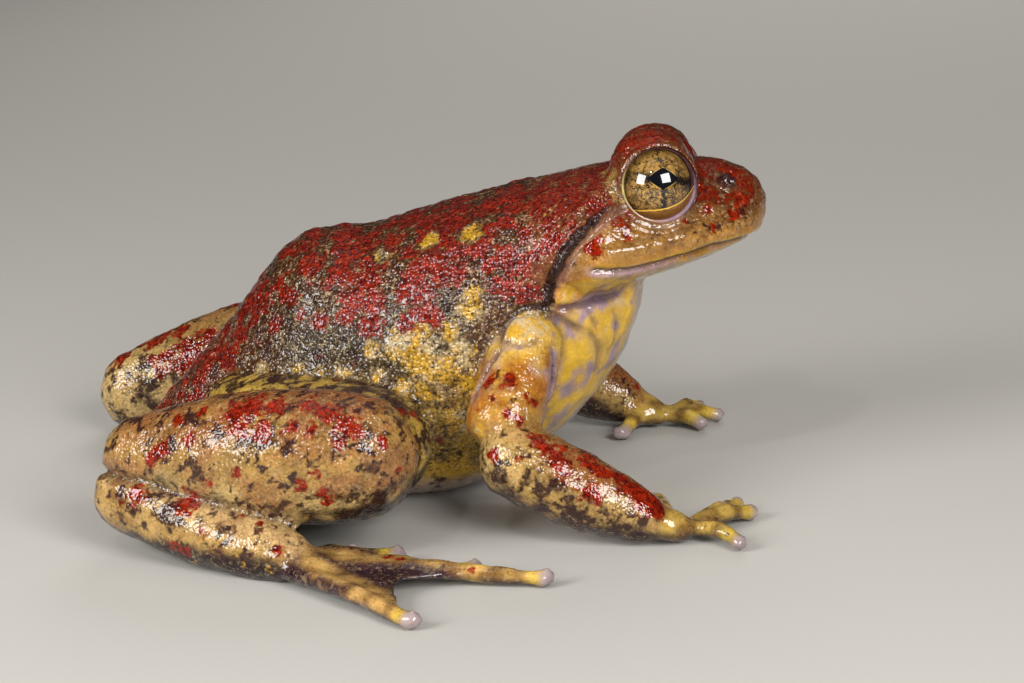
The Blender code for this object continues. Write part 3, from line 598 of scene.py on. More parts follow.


# Markings: x, y and radius of each patch, picked in the photograph's pixels

redPicks = [
    (294, 241, 8), (316, 234, 8), (339, 236, 9), (369, 237, 11), (391, 240, 10), (396, 223, 8), (414, 215, 8),
    (428, 222, 12), (451, 222, 12), (459, 226, 8), (441, 209, 7), (466, 209, 7), (494, 202, 10),
    (516, 197, 10), (539, 188, 11), (512, 209, 11), (534, 206, 10), (548, 224, 9), (487, 229, 8),
    (476, 247, 12), (459, 250, 9), (451, 240, 5), (525, 238, 8), (505, 256, 12), (519, 266, 11),
    (487, 265, 7),
    (409, 252, 10), (430, 263, 14), (416, 274, 13), (441, 275, 10), (457, 275, 9), (387, 257, 5),
    (344, 261, 8), (366, 263, 7), (334, 251, 7), (357, 249, 5), (310, 266, 9), (344, 275, 10), (326, 284, 7),
    (355, 279, 6), (369, 284, 10), (355, 300, 13), (373, 302, 12), (403, 293, 9), (421, 293, 11),
    (432, 295, 5), (419, 316, 13), (434, 316, 8), (405, 324, 8), (373, 324, 11), (367, 334, 6), (346, 315, 8),
    (320, 322, 9), (300, 315, 7), (292, 299, 8), (284, 291, 5), (492, 286, 7), (509, 290, 10), (530, 290, 9),
    (550, 245, 9), (512, 275, 6), (306, 245, 9), (316, 264, 8), (284, 295, 7), (276, 324, 8), (262, 287, 8),
    (257, 303, 8), (246, 307, 6), (279, 282, 5), (227, 331, 8), (239, 339, 6), (206, 367, 8), (198, 381, 8),
    (182, 394, 6), (235, 412, 12), (255, 405, 14), (275, 405, 10), (240, 428, 10), (262, 430, 9),
    (310, 405, 10), (325, 412, 11), (345, 425, 10), (358, 430, 8), (312, 432, 7), (188, 440, 7),
    (160, 449, 9),
    (153, 459, 7), (179, 420, 6), (204, 411, 5), (294, 427, 6), (300, 488, 6), (327, 497, 8), (338, 443, 6),
    (316, 472, 6), (380, 443, 6), (396, 468, 6), (412, 414, 6), (399, 411, 5), (440, 440, 4), (208, 483, 5),
    (236, 475, 5), (207, 337, 9), (187, 361, 8), (169, 355, 5), (184, 328, 5), (188, 504, 11), (137, 497, 9),
    (243, 516, 5), (259, 523, 4), (204, 537, 5), (172, 545, 6), (185, 551, 6), (278, 551, 5), (390, 557, 8),
    (401, 559, 6), (472, 570, 4), (511, 380, 8), (489, 383, 6), (493, 399, 5), (509, 415, 6), (519, 421, 6),
    (533, 406, 5), (526, 397, 4), (547, 449, 8), (550, 461, 6), (564, 468, 8), (578, 443, 8), (589, 456, 8),
    (619, 477, 8), (635, 488, 7), (587, 493, 8), (598, 499, 6), (519, 459, 5), (493, 456, 6), (642, 504, 8),
    (656, 511, 7), (481, 408, 4), (635, 389, 4), (620, 224, 7), (593, 249, 8), (597, 242, 6), (627, 238, 4),
    (570, 224, 5), (549, 224, 8), (552, 242, 10), (559, 215, 6), (525, 236, 8), (531, 260, 8), (534, 292, 8),
    (525, 299, 6), (591, 203, 8), (599, 207, 7), (708, 206, 5), (736, 213, 7), (704, 190, 6), (743, 197, 8),
    (684, 222, 3), (716, 229, 5), (580, 196, 9), (560, 190, 9), (545, 205, 8),
]
yellowPicks = [
    (382, 258, 8), (431, 240, 8), (472, 232, 9), (466, 203, 4), (471, 306, 12), (473, 295, 9), (549, 215, 5),
    (405, 345, 15), (423, 340, 13), (450, 334, 11), (394, 349, 10), (440, 372, 16), (470, 388, 12),
    (420, 366, 12), (462, 420, 10), (460, 352, 12), (480, 430, 7), (526, 322, 14), (515, 330, 9),
    (540, 325, 10), (370, 352, 8), (296, 368, 6), (262, 372, 7), (250, 392, 5), (600, 330, 7), (612, 312, 6),
    (565, 298, 10), (575, 305, 6), (620, 300, 8), (632, 318, 6), (600, 298, 5), (660, 276, 5), (690, 262, 5),
    (715, 252, 4), (405, 390, 8), (440, 395, 6),
]
darkPicks = [
    (147, 497, 7), (165, 515, 8), (160, 495, 7), (178, 522, 9), (200, 520, 7), (130, 505, 7), (120, 495, 6),
    (220, 530, 6), (235, 520, 5), (150, 470, 5), (155, 460, 5), (172, 440, 6), (190, 450, 5), (270, 435, 12),
    (245, 440, 7), (220, 430, 5), (285, 455, 5), (400, 425, 6), (370, 405, 5), (385, 400, 5), (330, 455, 5),
    (360, 470, 5), (278, 508, 6), (284, 500, 5), (300, 507, 4), (345, 512, 6), (352, 498, 6), (375, 500, 9),
    (390, 506, 9), (365, 510, 7), (405, 510, 8), (440, 480, 6), (432, 492, 6), (420, 500, 6), (395, 490, 6),
    (430, 500, 5), (410, 430, 5), (555, 485, 8), (540, 490, 8), (570, 500, 6), (530, 470, 5), (500, 465, 7),
    (493, 475, 7), (485, 465, 6), (505, 480, 6), (583, 515, 8), (590, 520, 6), (570, 512, 6), (560, 505, 5),
    (643, 520, 7), (650, 510, 5), (600, 510, 5), (515, 455, 4), (520, 490, 5), (535, 510, 5), (610, 525, 5),
    (625, 528, 6), (525, 430, 5), (513, 400, 4), (495, 378, 4), (500, 370, 3), (717, 519, 3), (707, 524, 3),
    (725, 536, 3), (445, 565, 4), (430, 561, 5), (460, 568, 3), (492, 571, 3), (350, 548, 5), (365, 552, 5),
    (378, 556, 4), (395, 600, 4), (365, 585, 4), (100, 400, 5), (112, 380, 5), (130, 375, 5), (145, 368, 6),
    (120, 415, 6), (150, 385, 9), (165, 375, 8), (175, 368, 6), (135, 420, 7), (155, 405, 8), (140, 395, 7),
]
crownPicks = [
    (612, 166, 10), (630, 142, 10), (652, 134, 11), (674, 136, 10), (690, 150, 8), (598, 172, 10),
    (580, 178, 9), (640, 128, 6), (716, 166, 9), (734, 172, 9), (748, 184, 8), (700, 164, 6), (565, 182, 8),
]

# Pale skin behind the eye, picked the same way
palePicks = [(608, 168, 6), (611, 178, 7), (614, 189, 7), (618, 199, 6)]

# What each list of picks paints, and how far its patches reach as a share of their radius
patchPicks = {
    "red": (redPicks, 1.14), "crown": (crownPicks, 1.1), "dark": (darkPicks, 0.95),
    "yellow": (yellowPicks, 1.1), "pale": (palePicks, 1.0),
}
patchEdge = {"size": 2.6, "push": 0.9}  # mm; noise pushes the patches' outlines about by this much

# The shade under the jaw, in front of its lobe
jawShadePath = [(33.4, -14.6, 32.1), (35.8, -12.9, 32.3), (37.8, -11.2, 32.2), (39.4, -9.2, 32.2)]
jawLobePlace = (31.2, -15.8, 32.8)
elbowPlace = (21, -30, 13)

# The broad red band along the top of the forearm
armBandPath = [
    (27.5, -31.0, 15.5), (31.0, -32.0, 14.0), (36.0, -32.5, 11.5), (41.0, -32.3, 8.6), (45.0, -32.5, 6.0),
]

# The far flank repeats the near one, moved along so that the two sides aren't twins
farShift = (2.5, 0.0, 0.8)

# Colours of the zones, as sRGB hex
zoneColours = {
    "back": "5c3418", "flankDark": "48402c", "flank": "a07c3a", "flankGold": "e8b63c", "belly": "c2aa98",
    "throat": "f6c43a", "lilac": "b397a2", "neck": "8a4a26", "crown": "6a2a12", "cheek": "8e5228",
    "cheekGold": "a06e32", "snout": "7a4826", "upperLip": "c8924a", "lowerLip": "b8949a",
    "lipShine": "d8c0cc", "jaw": "b47a2c", "jawLobe": "e09614", "jawShade": "5c3230",
    # the creases' colour: their dark line, and painted shade in them
    "foldEdge": "c79a8c", "creaseLineAndShade": "38202c",
    # the dark under the arms and digits and low on the flank: partly painted shade
    "shoulder": "f0be40", "arm": "b8701e", "fore": "c39a58", "foreTop": "8f4a24", "darkUnderAndShade": "34181c",
    "elbow": "e6c27a", "thigh": "c0983e", "thighStripe": "e2b850", "shank": "b07a44", "shankTop": "8a4a24",
    # the legs' dark: the thigh's stripes; under the legs partly painted shade; in the folds painted shade
    "shankLow": "dcba78", "legDarkAndShade": "2a151a", "tarsus": "cca25c", "tarsusTop": "dcb274", "foot": "e8b466",
    "digit": "d6ae52", "ring": "f0c840", "tip": "b5a2a0", "web": "3a222c", "nostril": "46262a",
    "lid": "7c4422", "lidLow": "9c7656", "footBand": "6e4426", "khaki": "c49c50", "rump": "703a24",
}

# Noise that breaks up the marks between the picks: size in mm, offset, low, high, and detail if it isn't 3
markNoise = {
    "armBand": (2.4, 61, 0.32, 0.50), "farLeg": (4.5, 11, 0.50, 0.66), "spine": (3.4, 5, 0.46, 0.60),
    "rump": (3.6, 15, 0.38, 0.54), "crown": (2.4, 41, 0.40, 0.62), "neck": (2.4, 45, 0.42, 0.58),
    "spots": (7.0, 2, 0.45, 0.60), "hindDark": (1.9, 23, 0.48, 0.67, 4), "foreDark": (1.8, 27, 0.49, 0.68, 4),
    "torsoDark": (3.0, 19, 0.50, 0.66), "headDark": (1.8, 17, 0.52, 0.70), "snoutDark": (1.7, 81, 0.45, 0.62),
    "shankDark": (2.2, 91, 0.46, 0.62), "hindYellow": (2.6, 37, 0.55, 0.70),
    "flankYellow": (2.6, 71, 0.44, 0.62),
}
# How much each part of the body shows granules and flecks, apart from torso and head
granuleShares = {"shank": 0.5, "thigh": 0.6, "arm": 0.35, "fore": 0.4, "tarsus": 0.4, "jaw": 0.2}
fleckShares = {
    "shank": 0.55, "thigh": 0.55, "tarsus": 0.55, "fore": 0.6, "arm": 0.35, "jaw": 0.25, "foot": 0.5,
    "digit": 0.4,
}

# Lines of the toes and of the foot behind them; skin further away than webFrom from all of them is web
toeLines = [
    [(-19.0, -37.5, 5.0), (-4.0, -44.0, 2.6)], [(-31.0, 38.0, 4.6), (-17.5, 44.0, 2.6)],
    [(-4.0, -43.0, 2.0), (30.4, -48.2, 1.2)], [(-4.0, -45.5, 2.0), (13.2, -64.4, 1.2)],
    [(-4.0, -42.0, 2.0), (20.0, -44.4, 1.2)], [(-17.0, 42.0, 2.0), (17.5, 53.5, 1.2)],
    [(-17.0, 45.5, 2.0), (-1.0, 64.0, 1.2)], [(-17.0, 41.0, 2.0), (9.0, 45.5, 1.2)],
]
webFrom = (1.9, 2.8)  # mm


def warped(points, size, amount):
    # the points, each pushed aside by noise, so that round patches come out ragged
    shift = Vector((0.0, 2.9, 8.8))
    pushes = []
    for p in points:
        at = Vector(p) / size + shift
        pushes.append(noise.turbulence_vector(at, 3, False, noise_basis="PERLIN_ORIGINAL"))
    return points + np.array(pushes) * amount


def patchMask(points, patches, reach):
    # 1 in the middle of each patch, falling to 0 at about twice its radius
    mask = np.zeros(len(points))
    for x, y, z, radius in patches:
        size = radius * reach
        near = np.abs(points[:, 0] - x) < 2.2 * size
        away = distance(points[near], (x, y, z)) / size
        mask[near] = np.maximum(mask[near], np.clip(1.3 - 0.65 * away, 0, 1))
    return mask


def layered(colour, layers, tones):
    # each layer is the name of a tone and how much of it lies on what is below
    for name, amount in layers:
        amount = np.clip(amount, 0, 1)[:, None]
        colour = colour * (1 - amount) + tones[name] * amount
    return colour


def paint(skin, marks, far):
    # a pair of numbers in a ramp is where a soft change begins and ends, in mm or in noise from 0 to 1
    places, normals, edges = readMesh(skin.data)
    count = len(places)
    x, y, z = places.T
    up = normals[:, 2]
    headZ = uprightHead(places)[:, 2]
    near = nearSide(places)
    tones = {name: np.array(linear(code)) for name, code in zoneColours.items()}
    nearness = {part: hump(gap, 0.55) + 1e-12 for part, gap in far.items()}
    total = sum(nearness.values())
    on = {part: value / total for part, value in nearness.items()}
    lumps, small, fine = cloud(places, 6.0), cloud(places, 2.2, offset=3.0), cloud(places, 1.3, offset=9.0)
    stripes = cloud(places * (0.35, 1.6, 1.0), 1.6, offset=51.0)
    wobble, uneven, finer = (lumps - 0.5) * 8, small - 0.5, fine - 0.5
    noisy = {}
    for name, (size, offset, low, high, *detail) in markNoise.items():
        noisy[name] = ramp(cloud(places, size, *detail, offset=offset), low, high)

    above = marks["aboveMouth"]
    under = ramp(-up, 0.1, 0.7)
    chest = ramp(x - (z - 20) * 0.25 + wobble * 0.25, 25.0, 28.0)
    snout = ramp(x, 50, 57)
    foldLine = np.array(sorted((fz, fx) for fx, _, fz in marks["foldPath"]))
    behindEar = ramp(np.interp(headZ, *foldLine.T) - x + uneven * 1.5, 0.2, 1.6)
    web = ramp(np.minimum.reduce([alongPath(places, path)[0] for path in toeLines]), *webFrom)
    tipAway = np.minimum.reduce([distance(places, tip) for tip in digitTips])
    ends = [("ring", hump(tipAway - 2.9, 0.7) * 0.9), ("tip", ramp(-tipAway, -2.3, -1.7))]
    bands = 0.5 + 0.5 * np.sin(tipAway * 1.5 + 0.8 + uneven * 2)
    bands = ramp(bands, 0.55, 0.8) * ramp(tipAway, 3.2, 4.0)
    pads = np.zeros(count)
    for px, py, pz, radius in toePads:
        pads = np.maximum(pads, ramp(-distance(places, (px, py, pz)), -radius - 0.5, -radius + 0.1))

    # each part of the body: its ground colour, then the layers on it
    zones = {
        "torso": ("back", [
            ("flank", ramp(wobble - z, -27, -19) * ramp(x, -14, -4)),
            ("flankGold", ramp(small * 0.6 + lumps * 0.6 - 0.02 * z, 0.25, 0.45)
             * ramp(-z, -21, -15) * ramp(x, -8, 2)),
            ("rump", ramp(-x + wobble * 0.5, 14, 22)),
            ("flankDark", hump(z + wobble - 27, 7) * ramp(-x, -20, -14) * ramp(x, -14, -8)
             * (1 - ramp(up, 0.5, 0.8)) * 0.8),
            # dark low on the flank behind the arm: purple mottling and painted shade
            ("darkUnderAndShade", ramp(-z + uneven * 9, -16, -10) * ramp(x, 2, 8) * (1 - under) * 0.9),
            ("belly", ramp(-z + wobble * 0.3, -6, -3) * under),
            ("throat", chest), ("lilac", chest * ramp(small * 0.7 + lumps * 0.5, 0.68, 0.82)),
            ("lilac", chest * ramp(np.abs(y) * -1 - lumps * 4, -9, -6) * 0.7),
        ]),
        "head": ("crown", [
            ("cheek", ramp(-headZ + wobble * 0.25, -43.5, -41.5)),
            ("cheekGold", ramp(-above + uneven * 3, -6.5, -4.5) * ramp(x, 31, 34)),
            ("snout", snout * ramp(small * 0.8 + snout * 0.5, 0.5, 0.8)),
            ("upperLip", ramp(-above + uneven * 1.5, -3.6, -2.2) * ramp(x, 33, 37)),
            ("snout", ramp(x, 56, 59) * ramp(fine, 0.35, 0.6) * 0.6),
            ("footBand", ramp(fine * 0.6 + small * 0.5, 0.52, 0.66) * ramp(x, 40, 50)
             * ramp(-above, -5.5, -3.5) * 0.75),
            ("neck", behindEar), ("nostril", marks["nostrilKnob"]), ("foldEdge", marks["foldEdge"] * 0.3),
            ("lid", marks["lidBand"] * ramp(z, 46, 51)),
            ("lidLow", marks["lidBand"] * ramp(-z, -46, -42) * 0.8),
        ]),
        "jaw": ("jaw", [
            ("throat", ramp(-up, 0.3, 0.8)), ("lilac", ramp(-up, 0.7, 0.95) * ramp(small, 0.5, 0.65)),
            ("jawShade", ramp(-above + uneven * 2, 2.0, 3.4) * ramp(x, 40, 46)
             * ramp(fine, 0.40, 0.62) * 0.7),
            ("lowerLip", hump(above + 0.5, 0.38) * ramp(x, 34.5, 36)
             * (1 - ramp(x, 45, 49) * (0.5 + 0.5 * ramp(small, 0.44, 0.54)))),
        ]),
        "arm": ("arm", [
            ("shoulder", ramp(z + wobble * 0.3, 24, 27)), ("shoulder", ramp(small, 0.58, 0.7) * 0.7),
            ("lilac", ramp(fine * 0.6 + small * 0.6, 0.72, 0.85) * ramp(z, 20, 25)),
            ("foreTop", ramp(fine * 0.5 + small * 0.6, 0.60, 0.74) * ramp(-z, -21, -16) * 0.8),
            ("fore", hump(far["fore"] + uneven * 3, 2.6) * 0.75),
            # darker low under the upper arm: partly painted shade
            ("darkUnderAndShade", ramp(-z, -14, -10) * ramp(-up, 0.2, 0.7) * 0.7),
        ]),
        "fore": ("fore", [
            ("khaki", ramp(lumps, 0.5, 0.62) * 0.4), ("arm", hump(far["arm"] + uneven * 3, 3.0) * 0.7),
            ("foreTop", ramp(up + uneven * 0.8, 0.15, 0.55) * ramp(x, 25, 31) * 0.85),
            # darker where the forearm faces down: partly painted shade
            ("elbow", hump(distance(near, elbowPlace), 4.5)), ("darkUnderAndShade", ramp(-up + uneven, 0.12, 0.5)),
        ]),
        "thigh": ("thigh", [
            ("thighStripe", ramp(stripes, 0.52, 0.6) * 0.9), ("legDarkAndShade", ramp(-stripes, -0.53, -0.46) * 0.9),
            # darker where the thigh faces down: partly painted shade
            ("legDarkAndShade", ramp(-up + uneven * 0.8, 0.1, 0.5)),
        ]),
        "shank": ("shank", [
            ("khaki", ramp(lumps * 0.8 + small * 0.3, 0.48, 0.62) * 0.7),
            ("shankTop", ramp(z + uneven * 10, 18.5, 24) * 0.7),
            ("shankLow", ramp(-z + (lumps - 0.5) * 8, -14, -9) * 0.8),
            # darker where the shank faces down: partly painted shade
            ("legDarkAndShade", ramp(-up + uneven * 1.1 + 0.25 * ramp(x, -4, 4), 0.42, 0.72)),
        ]),
        "tarsus": ("tarsus", [
            ("khaki", ramp(lumps, 0.44, 0.56) * 0.8), ("tarsusTop", ramp(up + uneven * 0.8, 0.3, 0.6)),
            ("shankTop", ramp(fine * 0.6 + lumps * 0.5, 0.58, 0.68) * 0.8),
            # darker low and where the tarsus faces down: partly painted shade
            ("legDarkAndShade", ramp(-z - up * 1.2 + uneven * 2.5, -5.0, -3.6)),
        ]),
        "foot": ("foot", [
            ("khaki", ramp(lumps, 0.48, 0.6) * 0.6), ("footBand", bands * 0.75),
            # between the toes the web's own colour; where the foot faces down the same dark, partly painted
            # shade
            ("web", ramp(web + finer * 0.4, 0.45, 0.75)), ("web", ramp(-up + uneven * 0.4, 0.05, 0.4)),
            *ends, ("tip", pads * ramp(-z, -2.6, -1.2)),
        ]),
        # the digits darker where they face down: partly painted shade
        "digit": ("digit", [("footBand", bands * 0.8), ("darkUnderAndShade", ramp(-up, 0.1, 0.5) * 0.8), *ends]),
    }
    colour = np.zeros((count, 3))
    for part, (ground, layers) in zones.items():
        colour += on[part][:, None] * layered(np.tile(tones[ground], (count, 1)), layers, tones)
    colour = layered(colour, [
        ("jawShade", hump(alongPath(near, jawShadePath)[0] + uneven * 0.8, 0.95) * 0.85),
        ("jawLobe", ramp(-distance(near, jawLobePlace) + uneven * 1.2, -3.2, -2.2)),
        ("lilac", marks["creaseHalo"] * 0.9 * (on["arm"] + chest)), ("lipShine", marks["lip"] * 0.3),
        # dark along the creases: their line and painted shade in them; dark in the folds where parts lie
        # together: painted shade
        ("creaseLineAndShade", marks["crease"] * 0.9), ("legDarkAndShade", marks["fold"] * 0.85),
    ], tones)

    # the picked patches, on the far flank too
    tree = treeOf(skin.data)
    bent = warped(places, patchEdge["size"], patchEdge["push"])
    mirrored = bent * (1, -1, 1) - np.array(farShift)
    farSide = (y > 1.0) * sum(on[part] for part in ("torso", "head", "jaw", "arm", "fore"))
    picked = {}
    for name, (picks, reach) in patchPicks.items():
        found = underPixels(picks, tree)
        picked[name] = np.maximum(patchMask(bent, found, reach), patchMask(mirrored, found, reach) * farSide)
    pale = picked["pale"] * (0.5 + 0.5 * ramp(fine, 0.3, 0.55))
    colour = layered(colour, [("khaki", 0.8 * pale)], tones)

    # red: the picked patches, then what lies between them on arm, far leg, spine, rump, crown and neck
    hind = on["shank"] + on["thigh"] + on["tarsus"]
    spine = on["torso"] * ramp(up, 0.45, 0.8) * (z > 22) * (1 - chest)
    rump = on["torso"] * ramp(-x, 9, 15) * ramp(z, 8, 14) * ramp(-np.abs(y), -12, -9)
    crownTop = on["head"] * ramp(up, 0.25, 0.6) * ramp(headZ, 40, 43)
    plain = 1 - 0.9 * marks["crease"]
    yellow = picked["yellow"]
    onYellow = on["torso"] * ramp(yellow, 0.35, 0.75) * (z > 30)
    red = np.maximum.reduce([
        picked["red"], on["fore"] * hump(alongPath(near, armBandPath)[0], 2.5) * noisy["armBand"],
        (y > 20) * (hind + on["foot"]) * noisy["farLeg"] * ramp(up, -0.1, 0.3) * 0.85,
        spine * noisy["spine"] * 0.85, rump * noisy["rump"] * 0.85,
        on["head"] * behindEar * noisy["neck"] * 0.9,
    ])
    notKnob = 1 - marks["nostrilKnob"]
    red *= plain * (1 - 0.1 * on["head"]) * (1 - 0.8 * onYellow) * (1 - 0.6 * pale) * notKnob
    crown = np.maximum(picked["crown"], crownTop * (0.30 + 0.6 * noisy["crown"]))
    crown *= notKnob * (1 - 0.7 * pale)
    # scattered small spots between them
    spotted = on["torso"] * ramp(z, 15, 22) * (1 - chest) + hind * ramp(up, -0.2, 0.3) * 0.9
    spotted += on["fore"] * ramp(up, 0, 0.4)
    red = np.maximum(red, domes(places, 3.1, offset=6.0) ** 2 * spotted * 0.55 * noisy["spots"])

    # dark mottles, the thigh's stripes and the line of the ear fold
    mottles = hind * noisy["hindDark"] * 0.76 + on["fore"] * noisy["foreDark"] * 0.68
    mottles += on["torso"] * noisy["torsoDark"] * 0.6 * (1 - chest) + on["head"] * noisy["headDark"] * 0.5
    mottles += on["head"] * ramp(x, 46, 53) * ramp(-above, -6, -4) * noisy["snoutDark"] * 0.4
    mottles += on["shank"] * ramp(z, 13, 18) * noisy["shankDark"] * 0.4
    earLine = ramp(-marks["earAway"] - finer * 0.6, -1.0, -0.55)
    dark = np.maximum.reduce([
        picked["dark"], np.minimum(mottles, 0.85), on["thigh"] * ramp(-stripes, -0.53, -0.45) * 0.9, earLine,
    ])

    # yellow low on the hind legs and low on the flank
    lowFlank = on["torso"] * ramp(-z, -27, -22) * ramp(z, 9, 15) * ramp(x, -18, -8)
    lowFlank *= (1 - chest) * (1 - under)
    yellow = np.maximum.reduce([
        yellow * plain, hind * noisy["hindYellow"] * 0.5 * ramp(-z, -18, -10),
        lowFlank * noisy["flankYellow"] * 0.75,
    ])

    granular = on["torso"] * ramp(z, 4, 11) * (1 - chest * 0.8)
    granular += on["head"] * (0.22 + 0.25 * ramp(above, 4, 8) + 0.55 * behindEar)
    granular += sum(on[part] * share for part, share in granuleShares.items())
    speckled = on["torso"] * ramp(z, 3, 8) * (1 - chest)
    speckled += on["head"] * (0.5 + 0.35 * ramp(x, 50, 56) * ramp(-above, -8, -5))
    speckled += sum(on[part] * share for part, share in fleckShares.items())
    granular = np.maximum(np.clip(granular, 0, 1), earLine * 1.3)
    speckled = np.maximum(np.clip(speckled, 0, 1), earLine * 0.7)
    sleek = on["head"] * ramp(-above, -5.0, -3.6) + on["jaw"]
    keep = 1 - np.clip(ramp(-tipAway, -2.6, -1.7) * (on["foot"] + on["digit"]) + pads * on["foot"], 0, 1)
    store(skin, "zoneColour", relax(colour, edges, 2, shrink=0.5, swell=0.0))
    for name, values in {
        "redMark": red, "crownMark": crown, "darkMark": dark * keep, "yellowMark": yellow,
        "granular": granular * keep, "speckled": speckled * keep,
        # black in the mouth's seam and the nostril's pit: painted shade; along the ear fold: its own dark
        # line
        "lineAndShadeMark": np.maximum.reduce([marks["mouthLine"] * 0.9, earLine * 0.3, marks["nostril"] * 0.8]),
        "crinkled": np.clip(granular + 0.45 - 0.33 * sleek, 0.08, 2),
    }.items():
        store(skin, name, values)


def store(piece, name, values):
    # a value or a colour for each point, read by the material under this name
    values = np.asarray(values, float)
    if values.ndim == 1:
        made = piece.data.attributes.new(name, "FLOAT", "POINT")
        made.data.foreach_set("value", values)
    else:
        made = piece.data.attributes.new(name, "FLOAT_COLOR", "POINT")
        made.data.foreach_set("color", np.concatenate([values, np.ones((len(values), 1))], 1).ravel())


paint(skin, sculptMarks, partFar)
print("skin painted")


# Materials: the one function that adds a node, then the wet skin

mixColours = {"output": 2, "data_type": "RGBA"}
softStep = {"interpolation_type": "SMOOTHSTEP"}


def addNode(tree, kind, inputs=(), output=0, **settings):
    # inputs go by their order or their name; a socket among them is linked and a value is set
    made = tree.nodes.new("ShaderNode" + kind)
    for key, value in settings.items():
        setattr(made, key, value)
    for key, value in inputs.items() if isinstance(inputs, dict) else enumerate(inputs):
        if isinstance(value, bpy.types.NodeSocket):
            tree.links.new(value, made.inputs[key])
        else:
            made.inputs[key].default_value = value
    return made.outputs[output] if made.outputs else None


def newMaterial(name):
    made = bpy.data.materials.new(name)
    made.use_nodes = True
    tree = made.node_tree
    tree.nodes.clear()
    return made, tree


skinLook = {
    "depth": 0.58,  # wet skin gives back this share of the light that its colours say
    "granule": 0.52,  # mm; one granule is about half a millimetre across
    # each noise's size in mm, detail, roughness and distortion
    "grains": {
        "edge": (1.3, 5.0, 0.7, 0.0), "fleck": (0.48, 4.0, 0.7, 0.0), "mottle": (3.5, 4.0, 0.65, 0.0),
        "wrinkle": (0.75, 4.0, 0.65, 0.8), "crinkle": (0.85, 1.5, 0.5, 0.6),
    },
    "shade": (0.30, 0.70, 0.66, 1.22),  # the mottle's range, and how dark and light it makes the skin
    "cellShare": 0.30,  # how far the granules, not the noise, cut the patches' edges
    "dome": (0.0, 0.75, 1.0, 0.0),
    "wrinkleRise": 1.1,
    "redDeep": "5c0e04", "redBright": "b42a08", "crownDeep": "541206", "crownBright": "a02a0a",
    "black": "190d0f", "brownBlack": "361b1a", "yellow": "e8b030", "cream": "dcc08c",
    "wetCoat": {
        "Roughness": 0.55, "IOR": 1.35, "Specular IOR Level": 0.0, "Subsurface Weight": 0.05,
        "Subsurface Radius": (1.0, 0.45, 0.25), "Subsurface Scale": 1.0 * mm, "Coat Weight": 1.0,
        "Coat Roughness": 0.06, "Coat IOR": 1.46,
    },
}

# Layers of colour, the lowest first: the mark on the skin, how noise frays its edge (gain, low, high), how
# a noise thins it (noise, low, high, least, most), its colours, the noise between them, its share on red
skinLayers = [
    {"mark": "speckled", "thin": ("wrinkle", 0.52, 0.64, 0.0, 0.55), "tones": ("cream",)},
    {
        "mark": "yellowMark", "fray": (1.2, 0.40, 0.86), "thin": ("fleck", 0.30, 0.50, 0.55, 0.97),
        "tones": ("yellow", "cream"), "between": ("mottle", 0.44, 0.60),
    },
    {"mark": "darkMark", "fray": (1.3, 0.38, 0.88), "share": 0.95, "tones": ("brownBlack",)},
    {
        "mark": "redMark", "fray": (1.25, 0.42, 0.82), "tones": ("redDeep", "redBright"),
        "between": ("wrinkle", 0.38, 0.62),
    },
    {
        "mark": "crownMark", "fray": (1.4, 0.45, 0.85), "tones": ("crownDeep", "crownBright"),
        "between": ("fleck", 0.38, 0.60),
    },
    {"mark": "speckled", "thin": ("fleck", 0.52, 0.62, 0.0, 0.85), "onRed": 0.15, "tones": ("black",)},
    # black in the gaps between the granules: painted shade
    {"mark": "granular", "thin": ("gap", 0.38, 0.70, 0.0, 0.42), "tones": ("black",)},
    # black lines: the ear fold's own, and painted shade in the mouth's seam and the nostril's pit
    {"mark": "lineAndShadeMark", "share": 0.95, "tones": ("black",)},
]


def pigment(code):
    return (*[c * skinLook["depth"] for c in linear(code)], 1)


